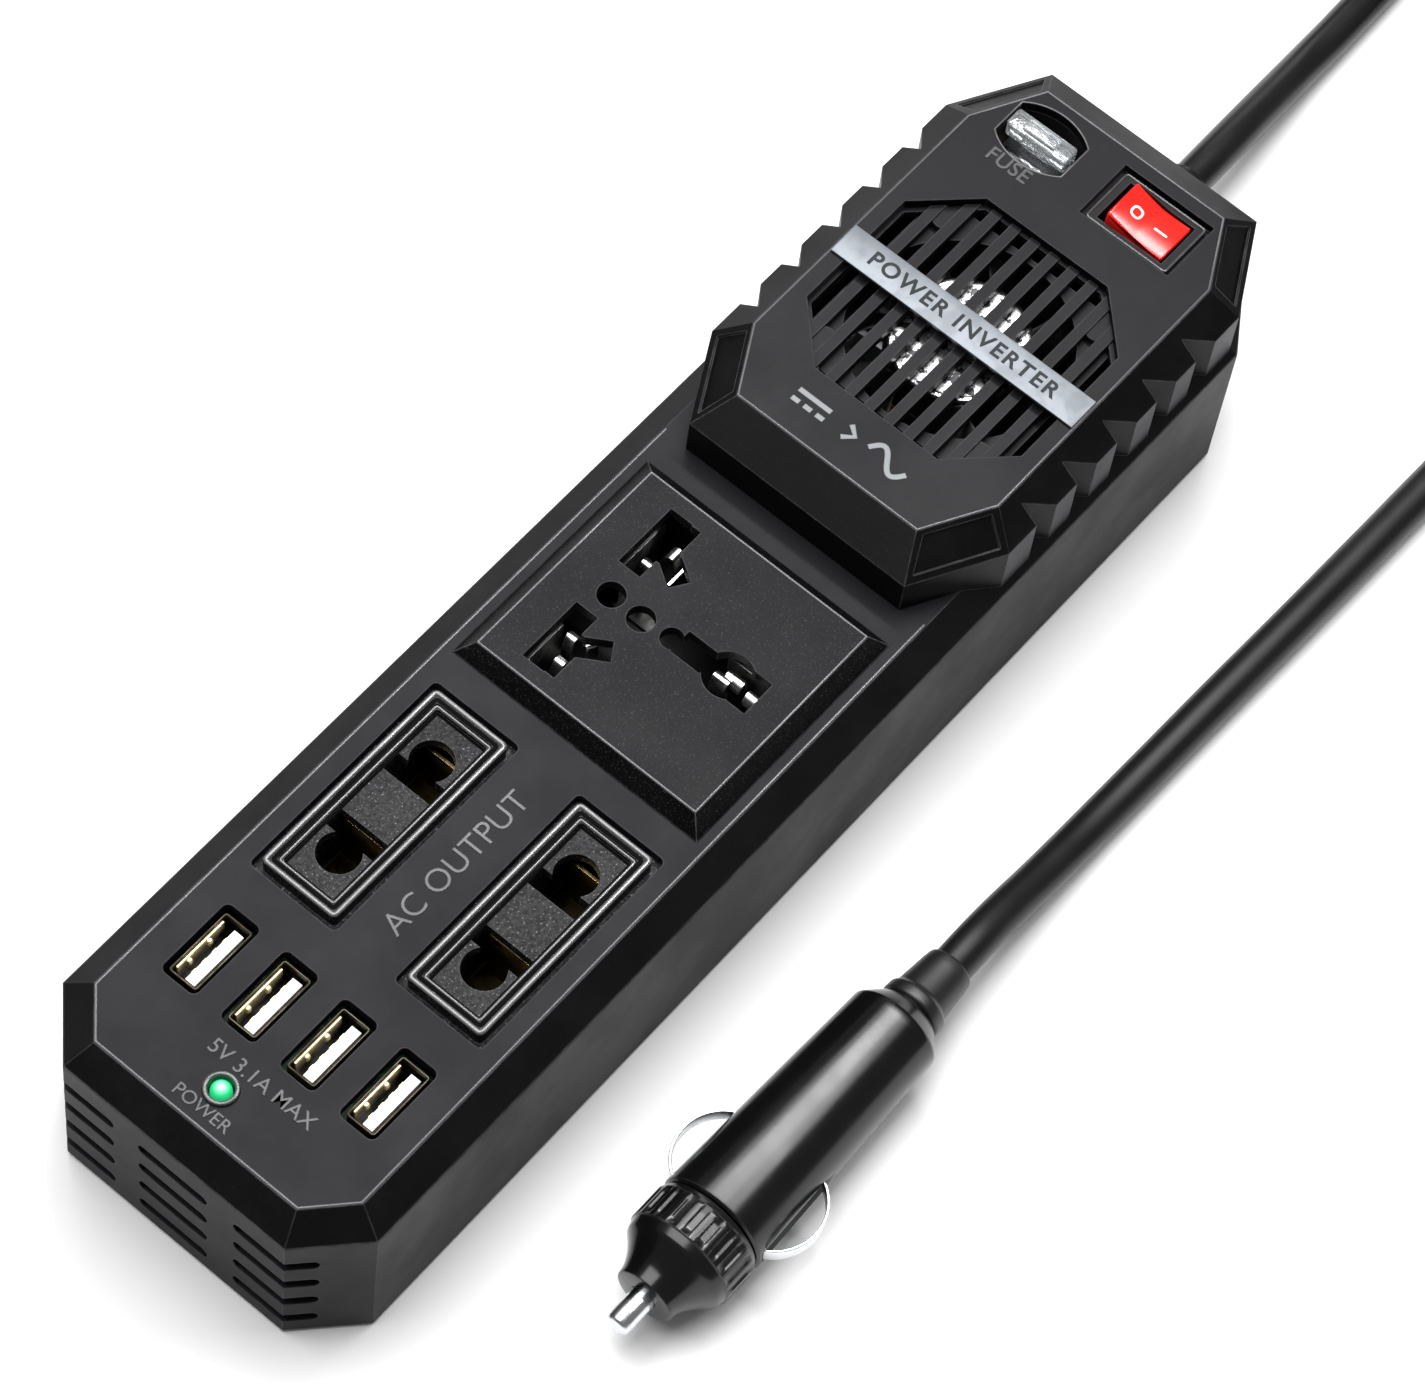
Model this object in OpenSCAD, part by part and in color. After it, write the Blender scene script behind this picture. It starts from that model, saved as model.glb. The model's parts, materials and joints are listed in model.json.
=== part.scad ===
// Strip-type car power inverter with fan, sockets, USB row, switch, fuse and a 12 V plug on its cord.
// +X runs from the USB end to the cord end, +Y across the width, +Z up. Units are millimetres.
// Distances called "from the USB end" are turned into X by at().

/* [Case] */
// Length of the case along X
body_l = 239; // [236:0.5:242]
// Width of the case across Y
body_w = 64; // [63:0.5:66]
// Underside of the case above the floor
base_z = 1; // [0.6:0.1:1.5]
// Height of the side walls' top edge
wall_z = 32; // [31.5:0.1:32.5]
// Height of the flat top face
face_z = 35.8; // [35.4:0.1:36.2]
// Inset of the sloping border round the top face
bevel_in = 4.8; // [4:0.1:5.2]
// Wall thickness of the lower case
wall_t = 2; // [1.6:0.1:2.4]
// Thickness of the case floor and of the top faces
skin_t = 2; // [1.6:0.1:2.2]

/* [Fan housing] */
// Front wall of the housing, from the USB end
house_u = 145.3; // [144:0.1:146]
// Half width of the housing's side walls
house_half = 30.8; // [30.4:0.1:31]
// Height where the housing's slopes begin
slope_z = 43.3; // [42.8:0.1:43.6]
// Height of the housing's top plate
plate_z = 47.8; // [47.4:0.1:48.2]
// Number of V notches along each side
notch_n = 5; // [3:1:5]
// Spacing of the notches
notch_pitch = 10.5; // [9:0.1:10.5]
// Depth of a notch
notch_d = 3.5; // [2.5:0.1:3.8]
// Half width of the grille's octagonal opening
grille_half = 22.2; // [21.5:0.1:22.6]
// Corner cut of the octagonal opening
grille_cut = 9.6; // [8:0.1:11]
// Centre of the fan, from the USB end
fan_u = 187; // [186:0.1:188]
// Number of grille slats
slat_n = 10; // [8:1:12]
// Width of one slat
slat_w = 2; // [1.6:0.1:2.4]
// Width of the band across the grille
band_w = 6.6; // [6:0.1:7]

/* [Vents] */
// Height of one vent slot
slot_h = 2.6; // [2:0.1:3]
// Spacing of the vent slots
slot_pitch = 6.6; // [6:0.1:6.8]
// Height of the lowest slot's centre
slot_z = 5.6; // [5.4:0.1:6]

/* [USB row] */
// Centre of the USB openings, from the USB end
usb_u = 28.1; // [27.5:0.1:28.5]
// Spacing of the USB ports across the width
usb_pitch = 12; // [11.6:0.1:12.2]
// Opening length in the cover
usb_cut_l = 15.2; // [14.6:0.1:15.6]
// Opening width in the cover
usb_cut_w = 7.1; // [6.8:0.1:7.4]

/* [Sockets] */
// Centre of the two-pin inserts, from the USB end
pin2_u = 64.4; // [64:0.1:65]
// Distance of a two-pin insert from the centre line
pin2_y = 14.8; // [14.6:0.1:15]
// Half spacing of the round pin holes
pin2_round = 10.8; // [10.4:0.1:11]
// Radius of the round pin holes
pin2_r = 3.7; // [3.4:0.1:3.8]
// Half spacing of the flat pin slots
pin2_flat = 6.6; // [6.3:0.1:6.8]
// Centre of the universal socket, from the USB end
uni_u = 115.5; // [115:0.1:116]
// Height of the universal socket's face above the top face
uni_up = 3; // [2.6:0.1:3.2]

/* [Switch and fuse] */
// Centre of the switch, from the USB end
switch_u = 223.9; // [223.5:0.1:224.2]
// Centre of the switch across the width
switch_y = -9.3; // [-9.5:0.1:-9]
// Angle of the rocker at rest, with the I side pressed
rocker_tilt = 10; // [6:1:11]
// Centre of the fuse pocket, from the USB end
fuse_u = 224.6; // [224.3:0.1:225]
// Centre of the fuse pocket across the width
fuse_y = 13.3; // [13:0.1:13.5]
// Length of the fuse body across the width
fuse_l = 12.4; // [12:0.1:12.6]
// Thickness of the fuse body
fuse_t = 3.9; // [3.6:0.1:4]

/* [Cord and plug] */
// Diameter of the cord
cord_d = 7; // [6.8:0.1:7]

/* [Hidden] */
$fn = 48;
eps = 0.01;
fit_r = 0.05;
usb_n = 4;
slat_pitch = 4.02;
usb_board_z = 19.4;
main_board_z = 7;
board_post_r = 2.6;
board_t = 1.6;
slat_z = [44.6, 46.3];
fan_z = [34.3, 44.3];
fan_size = 40;
hub_r = 12.2;
cover_bosses = [[14, 21], [142.5, 24]];
house_bosses = [[212.6, 20]];
case_bosses = concat(cover_bosses, house_bosses);
boss_r = 3.2;
boss_split = 16;
screw_r = 1.4;
main_posts = [[153, 23], [203, 23]];
usb_posts = [[20.4, 23], [38, 22.6]];
feet = [[28, 22], [198, 22]];
pin2_face_z = 35.2;
recess_z = 46.1;
pivot_z = 45;
rocker_half = 4.2;
pocket_w = 9.2;
pocket_l = 13.4;
frame_w = 10.8;
frame_l = 15;
fuse_top = 49.4;
exit_y = 1.6;
exit_z = 10;
exit_r = 4.8;
plug_u = 31.3;
plug_y = -62.2;
plug_z = 10;
plug_bore = 6.6;
tip_r = 2.2;
pin_r = 1;
fuse_floor = 39.7;
contact_u = 63.2;
contact_r = 9;
contact_off = 4.7;
coil_u = 360;
coil_y = -30.5;
coil_r = 36;
coil_z = 4.6;
relief_end = 259;

// Route of the cord from the strain relief to the coil: from the USB end, across, height.
route_out = [
    [259, 1.6, 10], [266, 1.7, 9.8], [274, 2, 8.9], [282, 2.5, 7.3], [290, 3, 5.6],
    [298, 3.4, 4.3], [308, 3.6, 3.7], [322, 4, 3.6], [336, 4.8, 3.8], [348, 5.3, 4.3],
    [360, 5.5, 4.6]];
// Route of the cord from the top turn of the coil back to the plug's boot.
route_back = [
    [360, -66.5, 11.6], [350, -66.5, 11.3], [339, -66.3, 9.8], [328, -66, 7.4], [316, -65.8, 5.2],
    [305, -65.6, 4], [292, -65.4, 3.6], [276, -65.1, 3.6], [258, -64.8, 3.6], [240, -64.4, 3.6],
    [222, -64, 3.6], [204, -63.5, 3.6], [186, -62.9, 3.6], [168, -62.4, 3.6], [155, -62.1, 3.9],
    [145, -62, 4.8], [136, -62, 6.4], [128, -62, 8.3], [121, -62.1, 9.6], [113.5, -62.2, 10]];

// ---- places and outlines ----

function at(u) = u - body_l / 2;

// An eight-sided outline, wide sides along X, from the near end round to the far end.
function outline(u0, u1, half, near_u, near_y, far_u, far_y) = [
    [at(u0), -near_y], [at(near_u), -half], [at(far_u), -half], [at(u1), -far_y],
    [at(u1), far_y], [at(far_u), half], [at(near_u), half], [at(u0), near_y]];

// The case outline, inset by d.
function ring(d) = outline(d, body_l - d, body_w / 2 - d, 10.2 + 0.41 * d, 22.4 - 0.41 * d,
    body_l - 16 - 0.3 * d, 21.6 - 0.54 * d);
function house_line() = outline(house_u, body_l, house_half, house_u + 16, 22.2, body_l - 17, 21.6);
function plate_line() = outline(house_u + 6.9, body_l - 5.9, 25.4, house_u + 19.3, 18.5,
    body_l - 18.9, 18.5);
function cave_line(d) = outline(house_u + 2 + d, body_l - 2 - d, 25.4 - d, house_u + 12, 20.5 - 0.4 * d,
    body_l - 13, 20 - 0.4 * d);

module prism(pts, z0, z1) {
    translate([0, 0, z0]) linear_extrude(z1 - z0) polygon(pts);
}

// A solid between outline a at height z0 and outline b, with as many points, at height z1.
module loft(a, b, z0, z1) {
    n = len(a);
    points = concat([for (p = a) [p[0], p[1], z0]], [for (p = b) [p[0], p[1], z1]]);
    sides = [for (i = [0:n - 1]) let (j = (i + 1) % n) each [[i, i + n, j + n], [i, j + n, j]]];
    polyhedron(points, concat([[for (i = [0:n - 1]) i]], [[for (i = [0:n - 1]) 2 * n - 1 - i]], sides));
}

// A box centred on x and y, from z0 to z1.
module block(x, y, l, w, z0, z1) {
    translate([x - l / 2, y - w / 2, z0]) cube([l, w, z1 - z0]);
}

// A flat plate outline with rounded corners.
module rounded(l, w, r) {
    union() {
        square([l - 2 * r, w], center = true);
        square([l, w - 2 * r], center = true);
        for (x = [-1, 1], y = [-1, 1]) {
            translate([x * (l / 2 - r), y * (w / 2 - r)]) circle(r);
        }
    }
}

module post(x, y, r, z0, z1) {
    translate([x, y, z0]) cylinder(h = z1 - z0, r = r);
}

module both_sides(places) {
    for (p = places, s = [-1, 1]) translate([at(p[0]), s * p[1], 0]) children();
}

// A solid of revolution about the X axis through the plug: profile points are [from the USB end, radius].
module turned(profile) {
    translate([at(0), plug_y, plug_z]) rotate([0, 90, 0]) rotate_extrude()
        polygon([for (p = profile) [p[1], p[0]]]);
}

// ---- sweep of the cord ----

function unit(v) = v / norm(v);
function route_tangent(r, i) = unit(r[min(i + 1, len(r) - 1)] - r[max(i - 1, 0)]);
function sweep_ring(p, t, r, n, up) = let (s = unit(cross(t, up)), u = cross(s, t))
    [for (k = [0:n - 1]) p + r * (cos(360 * k / n) * s + sin(360 * k / n) * u)];

// A tube of n sides along a list of points, with given end directions. No stretch may run along up.
module tube(route, r, n, t0, t1, up = [0, 0, 1]) {
    last = len(route) - 1;
    rings = [for (i = [0:last])
        sweep_ring(route[i], i == 0 ? t0 : i == last ? t1 : route_tangent(route, i), r, n, up)];
    points = [for (q = rings) each q];
    walls = [for (i = [0:last - 1], k = [0:n - 1]) let (m = (k + 1) % n, a = i * n, b = a + n)
        each [[a + k, a + m, b + m], [a + k, b + m, b + k]]];
    caps = [[for (k = [0:n - 1]) n - 1 - k], [for (k = [0:n - 1]) last * n + k]];
    polyhedron(points, concat(walls, caps));
}

// ---- case ----

// The solid envelope of the top cover, which the housing is seated on.
module cover_block() {
    loft(ring(0), ring(bevel_in), wall_z, face_z);
}

module vent_pin(y, z) {
    translate([at(-1), y, z]) rotate([0, 90, 0]) cylinder(h = wall_t + 2, r = slot_h / 2);
}

module vent_group(y0, y1) {
    for (i = [0:3]) {
        z = slot_z + i * slot_pitch;
        translate([at(-1), y0 + slot_h / 2, z - slot_h / 2]) cube([wall_t + 2, y1 - y0 - slot_h, slot_h]);
        vent_pin(y0 + slot_h / 2, z);
        vent_pin(y1 - slot_h / 2, z);
    }
}

// Slots that start on the end wall and run round the corner on the +Y side.
module vent_corner() {
    reach = 5.5 - slot_h / 2;
    start = 12.1 + slot_h / 2;
    for (i = [0:3]) {
        z = slot_z + i * slot_pitch;
        vent_pin(start, z);
        translate([at(-1), start, z - slot_h / 2]) cube([wall_t + 1.4, 22.4 - start, slot_h]);
        translate([at(0), 22.4, z]) rotate([0, 0, 43.3]) {
            translate([0, -3, -slot_h / 2]) cube([reach, 4, slot_h]);
            translate([reach, -3, 0]) rotate([-90, 0, 0]) cylinder(h = 4, r = slot_h / 2);
        }
    }
}

module lower_case() {
    color("#3a3a3d") difference() {
        union() {
            difference() {
                prism(ring(0), base_z, wall_z);
                prism(ring(wall_t), base_z + skin_t, wall_z + 1);
            }
            both_sides(case_bosses) post(0, 0, boss_r + 0.4, base_z, boss_split);
            both_sides(main_posts) post(0, 0, board_post_r, base_z, main_board_z);
            both_sides(usb_posts) post(0, 0, board_post_r, base_z, usb_board_z);
        }
        both_sides(case_bosses) translate([0, 0, base_z - 1]) cylinder(h = 20, r = screw_r + 0.2);
        both_sides(case_bosses) translate([0, 0, base_z - 1]) cylinder(h = 4.4, r = 3);
        both_sides(main_posts) translate([0, 0, base_z + 1.4]) cylinder(h = 10, r = 1.02);
        both_sides(usb_posts) translate([0, 0, usb_board_z - 7]) cylinder(h = 10, r = 1.02);
        vent_group(-6.9, 7.2);
        vent_corner();
        mirror([0, 1, 0]) vent_corner();
        translate([at(body_l - wall_t - 1), exit_y, exit_z]) rotate([0, 90, 0])
            cylinder(h = wall_t + 2, r = exit_r);
    }
}

module usb_places() {
    for (i = [0:usb_n - 1]) translate([at(usb_u), ((usb_n - 1) / 2 - i) * usb_pitch, 0]) children();
}

module top_cover() {
    color("#3a3a3d") difference() {
        union() {
            difference() {
                cover_block();
                loft(ring(2.4), ring(5.6), wall_z - eps, face_z - skin_t);
            }
            difference() {
                prism(ring(wall_t + 0.15), 29.6, 33);
                prism(ring(wall_t + 1.35), 29, 34);
            }
            both_sides(cover_bosses) translate([0, 0, boss_split]) cylinder(h = 18.5, r = boss_r);
        }
        both_sides(cover_bosses) translate([0, 0, boss_split - 1]) cylinder(h = 12, r = screw_r);
        usb_places() translate([0, 0, 30]) linear_extrude(8) rounded(usb_cut_l, usb_cut_w, 1.2);
        post(at(11.8), 1, 2.95, 30, 38);
        for (s = [-1, 1]) translate([at(pin2_u), s * pin2_y, 30]) linear_extrude(8) rounded(43.3, 17.6, 1);
        block(at(uni_u), 0, 44, 46, 30, 38);
        prism(cave_line(1), 29, 38);
    }
}

// A thin slab on a four-cornered face q with outward normal n, from depth t0 to t1 along n.
module slab(q, n, t0, t1) {
    points = concat([for (p = q) p + n * t0], [for (p = q) p + n * t1]);
    sides = [for (i = [0:3]) let (j = (i + 1) % 4) each [[i, i + 4, j + 4], [i, j + 4, j]]];
    polyhedron(points, concat([[0, 1, 2, 3], [7, 6, 5, 4]], sides));
}

function between(a, b, s) = a + s * (b - a);

// Shallow panel recess on the sloping corner between low edge a-b and high edge c-d.
module corner_panel(a, b, c, d) {
    low = between(a, c, 0.16);
    low_b = between(b, d, 0.16);
    high = between(a, c, 0.88);
    high_b = between(b, d, 0.88);
    q = [between(low, low_b, 0.07), between(low, low_b, 0.93), between(high, high_b, 0.9),
        between(high, high_b, 0.1)];
    n = unit(cross(q[1] - q[0], q[3] - q[0]));
    slab(q, n, -0.4, 2);
}

module corner_panels() {
    low = house_line();
    high = plate_line();
    for (k = [[0, 1], [2, 3], [4, 5], [6, 7]]) {
        corner_panel(concat(low[k[0]], slope_z), concat(low[k[1]], slope_z),
            concat(high[k[0]], plate_z), concat(high[k[1]], plate_z));
    }
}

module octagon(half, cut, z0, z1) {
    c = half - cut;
    translate([at(fan_u), 0, z0]) linear_extrude(z1 - z0) polygon([
        [-half, -c], [-c, -half], [c, -half], [half, -c], [half, c], [c, half], [-c, half], [-half, c]]);
}

// Finger pocket round the fuse, grown by g: two arcs with flat ends.
module fuse_lens(g, z0, z1) {
    translate([at(fuse_u), fuse_y, z0]) intersection() {
        translate([-4.7, 0, 0]) cylinder(h = z1 - z0, r = 10.8 + g);
        translate([4.7, 0, 0]) cylinder(h = z1 - z0, r = 10.8 + g);
        translate([-10, -6.9 - g, -1]) cube([20, 13.8 + 2 * g, z1 - z0 + 2]);
    }
}

module switch_at() {
    translate([at(switch_u), switch_y, 0]) children();
}

module fan_housing() {
    color("#38383b") difference() {
        union() {
            difference() {
                union() {
                    prism(house_line(), wall_z, slope_z);
                    loft(house_line(), plate_line(), slope_z, plate_z);
                }
                cover_block();
                prism(cave_line(0), 28, slope_z - 0.3 + eps);
                loft(cave_line(0), outline(153.5, 231.5, 23.6, 164, 18, 219.5, 17.6), slope_z - 0.3, 45.8);
            }
            switch_at() block(0, 0, frame_w + 4, frame_l + 5.4, 43.6, recess_z);
            both_sides(house_bosses) translate([0, 0, boss_split]) cylinder(h = 30.4, r = boss_r);
        }
        both_sides(house_bosses) translate([0, 0, boss_split - 1]) cylinder(h = 12, r = screw_r);
        octagon(grille_half, grille_cut, 43, 49);
        switch_at() block(0, 0, frame_w + 1.8, frame_l + 3.4, recess_z, 49);
        switch_at() block(0, 0, frame_w + 0.4, frame_l + 0.4, 40, 47);
        fuse_lens(1.25, 30, 45.8);
        fuse_lens(0, 45, 49);
        corner_panels();
        for (i = [0:notch_n - 1], s = [-1, 1]) {
            u0 = 168.4 + i * notch_pitch;
            prism([[at(u0), s * (house_half + 2)], [at(u0), s * (house_half - notch_d)],
                [at(u0 + 5.2), s * house_half], [at(u0 + 5.2), s * (house_half + 2)]], wall_z - 1, 49);
        }
    }
}

module grille_pins(r, z0, z1) {
    for (x = [-1, 1], y = [-1, 1]) post(at(fan_u) + 16 * x, 16 * y, r, z0, z1);
}

module fan_grille() {
    color("#2c2c2f") difference() {
        union() {
            difference() {
                octagon(grille_half + 1.1, grille_cut, 44.3, 45.8);
                octagon(grille_half - 0.6, grille_cut, 44, 46);
            }
            intersection() {
                octagon(grille_half, grille_cut, 44, 47);
                for (i = [0:slat_n - 1]) {
                    block(at(fan_u), (i - (slat_n - 1) / 2) * slat_pitch, 60, slat_w, slat_z[0], slat_z[1]);
                }
            }
            grille_pins(2.4, 44.3, 45.8);
        }
        grille_pins(1.2, 44, 45.4);
    }
}

module rating_band() {
    color("#c9cbce") block(at(fan_u), 0, band_w, 50, plate_z, plate_z + 0.6);
}

module case_screws() {
    color("#8f9296") both_sides(case_bosses) {
        difference() {
            translate([0, 0, 2.2]) cylinder(h = 2.2, r = 2.7);
            translate([-2, -0.35, 1.8]) cube([4, 0.7, 1.4]);
            translate([-0.35, -2, 1.8]) cube([0.7, 4, 1.4]);
        }
        translate([0, 0, 4.4 - eps]) cylinder(h = 21, r = screw_r - 0.02);
    }
}

module rubber_feet() {
    color("#1d1d1e") both_sides(feet) cylinder(h = base_z, r = 5);
}

// ---- USB end ----

module usb_shell(i) {
    color("#c6c8cb") translate([at(usb_u), ((usb_n - 1) / 2 - i) * usb_pitch, usb_board_z + board_t])
        difference() {
            linear_extrude(14) rounded(13.1, 5.7, 0.6);
            translate([0, 0, -1]) linear_extrude(16) rounded(12.3, 4.9, 0.3);
            for (x = [-3, 3]) translate([x - 0.9, 1.5, 5]) cube([1.8, 3, 5]);
        }
}

// The four contact strips of one port, about the port's centre.
module usb_strips() {
    for (k = [-1.5, -0.5, 0.5, 1.5]) {
        block(k * 2.3, 0.35, 1, 0.3, usb_board_z - 1, usb_board_z + 13.6);
    }
}

module usb_tongue(i) {
    color("#e6e6e2") translate([at(usb_u), ((usb_n - 1) / 2 - i) * usb_pitch, 0]) difference() {
        union() {
            block(0, 0, 12.1, 4.7, usb_board_z + board_t, usb_board_z + 5.4);
            block(0, -0.75, 11.1, 1.9, usb_board_z + 5, usb_board_z + 14.2);
        }
        usb_strips();
    }
}

module usb_contacts() {
    color("#d8b45a") usb_places() usb_strips();
}

module led_legs(r) {
    for (x = [-1.27, 1.27]) post(at(11.8) + x, 1, r, usb_board_z - 1, 33.2);
}

module usb_board() {
    color("#1f5a3a") difference() {
        union() {
            block(at(29), 0, 22, 50, usb_board_z, usb_board_z + board_t);
            block(at(12.6), 0, 11, 24, usb_board_z, usb_board_z + board_t);
        }
        usb_places() usb_strips();
        led_legs(0.35);
        both_sides(usb_posts) cylinder(h = 40, r = 1.1);
    }
}

module power_led() {
    color("#49c46a") {
        post(at(11.8), 1, 1.9, 33, 34);
        post(at(11.8), 1, 1.6, 33.9, 35.5);
        translate([at(11.8), 1, 35.4]) sphere(r = 1.6);
        led_legs(0.25);
    }
}

module led_ring() {
    color("#2a2a2c") difference() {
        union() {
            post(at(11.8), 1, 2.9, 33.6, 36.6);
            post(at(11.8), 1, 3.6, 32.8, 33.8);
        }
        post(at(11.8), 1, 2.1, 32, 38);
    }
}

// ---- sockets ----

module pin2_holes(grow, z0, z1) {
    for (s = [-1, 1]) {
        post(s * pin2_round, 0, pin2_r + grow, z0, z1);
        block(s * pin2_flat, 0, 3.6 + 2 * grow, 9.6 + 2 * grow, z0, z1);
    }
}

module two_pin(side) {
    color("#262628") translate([at(pin2_u), side * pin2_y, 0]) difference() {
        union() {
            block(0, 0, 46, 20.2, 32.8, 33.8);
            translate([0, 0, 33]) linear_extrude(3.6) rounded(40.7, 15.2, 1);
            block(0, 0, 38.6, 13.2, 18, 33.5);
        }
        translate([0, 0, pin2_face_z]) linear_extrude(3) rounded(35.9, 10.5, 0.6);
        translate([0, 0, 36.1]) linear_extrude(3) rounded(37.1, 11.7, 0.6);
        block(0, 0, 36.2, 10.8, 19.2, 33.2);
        pin2_holes(0, 30, 40);
        for (s = [-1, 1]) post(s * 8.7, -s * side * 3, 1.1, 17, 20);
    }
}

// Sprung contact pair of one pole: a base, two leaves and a tail.
module two_pin_contacts(side) {
    color("#d8b45a") translate([at(pin2_u), side * pin2_y, 0]) for (s = [-1, 1]) {
        block(s * 9.3, 0, 12, 9.6, 19.2, 19.8);
        block(s * 14.1, 0, 0.5, 7, 19.5, 31);
        block(s * 4.2, 0, 0.5, 8.6, 19.5, 32);
        post(s * 8.7, -s * side * 3, 0.9, 15, 19.5);
    }
}

// A straight slot between two points in the plan, with half width w.
module slot(p, q, w, z0, z1) {
    d = q - p;
    translate([p[0], p[1], z0]) rotate([0, 0, atan2(d[1], d[0])]) translate([0, -w, 0])
        cube([norm(d), 2 * w, z1 - z0]);
}

module universal_holes(z0, z1) {
    post(-0.4, 12.4, 2.4, z0, z1);
    post(-0.6, 6.1, 2.4, z0, z1);
    for (m = [0, 1]) mirror([m, 0, 0]) {
        block(11.6, 13.4, 13, 4.4, z0, z1);
        block(13.5, 12.4, 8.8, 6.2, z0, z1);
        slot([13, 13], [8.2, 5.6], 1.9, z0, z1);
    }
    post(0, 0.2, 2, z0, z1);
    block(0.5, -4, 4.8, 6, z0, z1);
    post(0.9, -10.6, 4.3, z0, z1);
    block(0.8, -15, 7, 3.6, z0, z1);
}

module universal_socket() {
    top = face_z + uni_up;
    color("#2b2b2e") translate([at(uni_u), 0, 0]) difference() {
        union() {
            loft([[-23.85, -25.2], [23.85, -25.2], [23.85, 25.2], [-23.85, 25.2]],
                [[-21.25, -22.45], [21.25, -22.45], [21.25, 22.45], [-21.25, 22.45]], face_z, top);
            block(0, 0, 43.6, 45.6, 22, face_z + 0.5);
        }
        block(0, 0, 41, 43, 21, top - 2.2);
        universal_holes(30, 42);
    }
}

tail_places = [[11.5, 11.8], [-12.5, 17.8], [0.9, -18]];

module universal_contacts() {
    color("#cfd1d4") translate([at(uni_u), 0, 0]) {
        for (s = [-1, 1]) {
            block(s * 13, 14, 14, 12, 22, 22.6);
            block(s * 12.6, 16.4, 11, 0.5, 22.3, 33.5);
            block(s * 13.6, 8.6, 8, 0.5, 22.3, 33.5);
        }
        block(0.9, -13.5, 12, 13, 22, 22.6);
        block(6.2, -11, 0.5, 8, 22.3, 34);
        block(-4.4, -11, 0.5, 8, 22.3, 34);
        for (p = tail_places) post(p[0], p[1], 0.9, 17, 22.3);
    }
}

module universal_back() {
    color("#2b2b2e") translate([at(uni_u), 0, 0]) difference() {
        block(0, 0, 43.6, 45.6, 20.4, 22);
        for (p = tail_places) post(p[0], p[1], 1.1, 20, 23);
    }
}

// A straight round bar between two points, ball-ended at the first.
module bar(p, q, r) {
    d = q - p;
    translate(p) {
        rotate([0, acos(d[2] / norm(d)), atan2(d[1], d[0])]) cylinder(h = norm(d), r = r, $fn = 16);
        sphere(r = r, $fn = 16);
    }
}

module socket_leads() {
    z = 13;
    color("#b23b32") for (s = [-1, 1], k = [-1, 1]) {
        u = pin2_u + k * 8.7;
        y = s * (pin2_y - k * 3);
        yy = k < 0 ? s * 17.8 : s * 11.8;
        bar([at(u), y, z], [at(u), y, 15], 1.1);
        bar([at(u), y, z], [at(149.5), yy, z], 1.1);
        bar([at(149.5), yy, z], [at(149.5), yy, 8.6], 1.1);
    }
    color("#b23b32") for (p = [tail_places[0], tail_places[1]]) {
        bar([at(uni_u) + p[0], p[1], z], [at(uni_u) + p[0], p[1], 17], 1.1);
    }
}

// ---- switch and fuse ----

module switch_frame() {
    color("#242426") switch_at() difference() {
        union() {
            translate([0, 0, recess_z]) linear_extrude(0.8) rounded(frame_w + 0.8, frame_l + 1.8, 0.8);
            block(0, 0, frame_w, frame_l, 30, recess_z + eps);
        }
        block(0, 0, pocket_w, pocket_l, 41, 48);
        translate([-6, 0, pivot_z]) rotate([0, 90, 0]) cylinder(h = 12, r = pin_r + fit_r);
    }
}

module rocker() {
    color("#c8201d") switch_at() translate([0, 0, pivot_z]) rotate([rocker_tilt, 0, 0]) {
        translate([-rocker_half, 0, 0]) rotate([90, 0, 90]) linear_extrude(2 * rocker_half) polygon([
            [-5.9, 3.2], [-5.6, -0.6], [-3, -3.2], [3, -3.2], [5.6, -0.6], [5.9, 3.2], [0, 2.2]]);
        translate([-rocker_half - 1, 0, 0]) rotate([0, 90, 0]) cylinder(h = 2 * rocker_half + 2, r = pin_r);
    }
}

module switch_terminals() {
    color("#cfd1d4") switch_at() for (y = [-5, 0, 5]) difference() {
        block(0, y, 4.8, 0.8, 22, 30);
        translate([0, y - 2, 24.4]) rotate([-90, 0, 0]) cylinder(h = 4, r = 0.8);
    }
}

module fuse_at() {
    translate([at(fuse_u), fuse_y, 0]) children();
}

module fuse_holder() {
    color("#28282a") difference() {
        fuse_lens(1.2, 31.5, 45.8);
        fuse_lens(0, fuse_floor, 47);
        fuse_at() for (s = [-1, 1]) block(0, 4.2 * s, 3.4, 4.2, 31, 40);
    }
}

module fuse_clips() {
    color("#d8b45a") fuse_at() for (s = [-1, 1], k = [-1, 1]) {
        block(1.2 * k, 4.2 * s, 0.5, 3.6, 29, 38.8);
    }
}

module fuse_blade_shape() {
    for (s = [-1, 1]) block(0, 4.2 * s, 0.8, 2.8, 33, 46);
    translate([0, 0, 43]) rotate([0, 90, 0]) rotate([0, 0, 90]) difference() {
        translate([-4.3, -0.4, -0.3]) cube([8.6, 1.6, 0.6]);
        translate([-2.6, -1.4, -1]) cube([5.2, 1.6, 2]);
    }
}

module fuse_body() {
    color("#dfe9ef") fuse_at() difference() {
        union() {
            block(0, 0, fuse_t, fuse_l, 45, fuse_top);
            block(0, 0, fuse_t - 0.7, fuse_l - 1.4, 40.2, 45 + eps);
        }
        fuse_blade_shape();
        for (s = [-1, 1]) block(0, 3.9 * s, 1.4, 2.2, 46.3, 50);
    }
}

module fuse_blades() {
    color("#cfd1d4") fuse_at() fuse_blade_shape();
}

// ---- fan ----

module fan_center() {
    translate([at(fan_u), 0, 0]) children();
}

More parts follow.
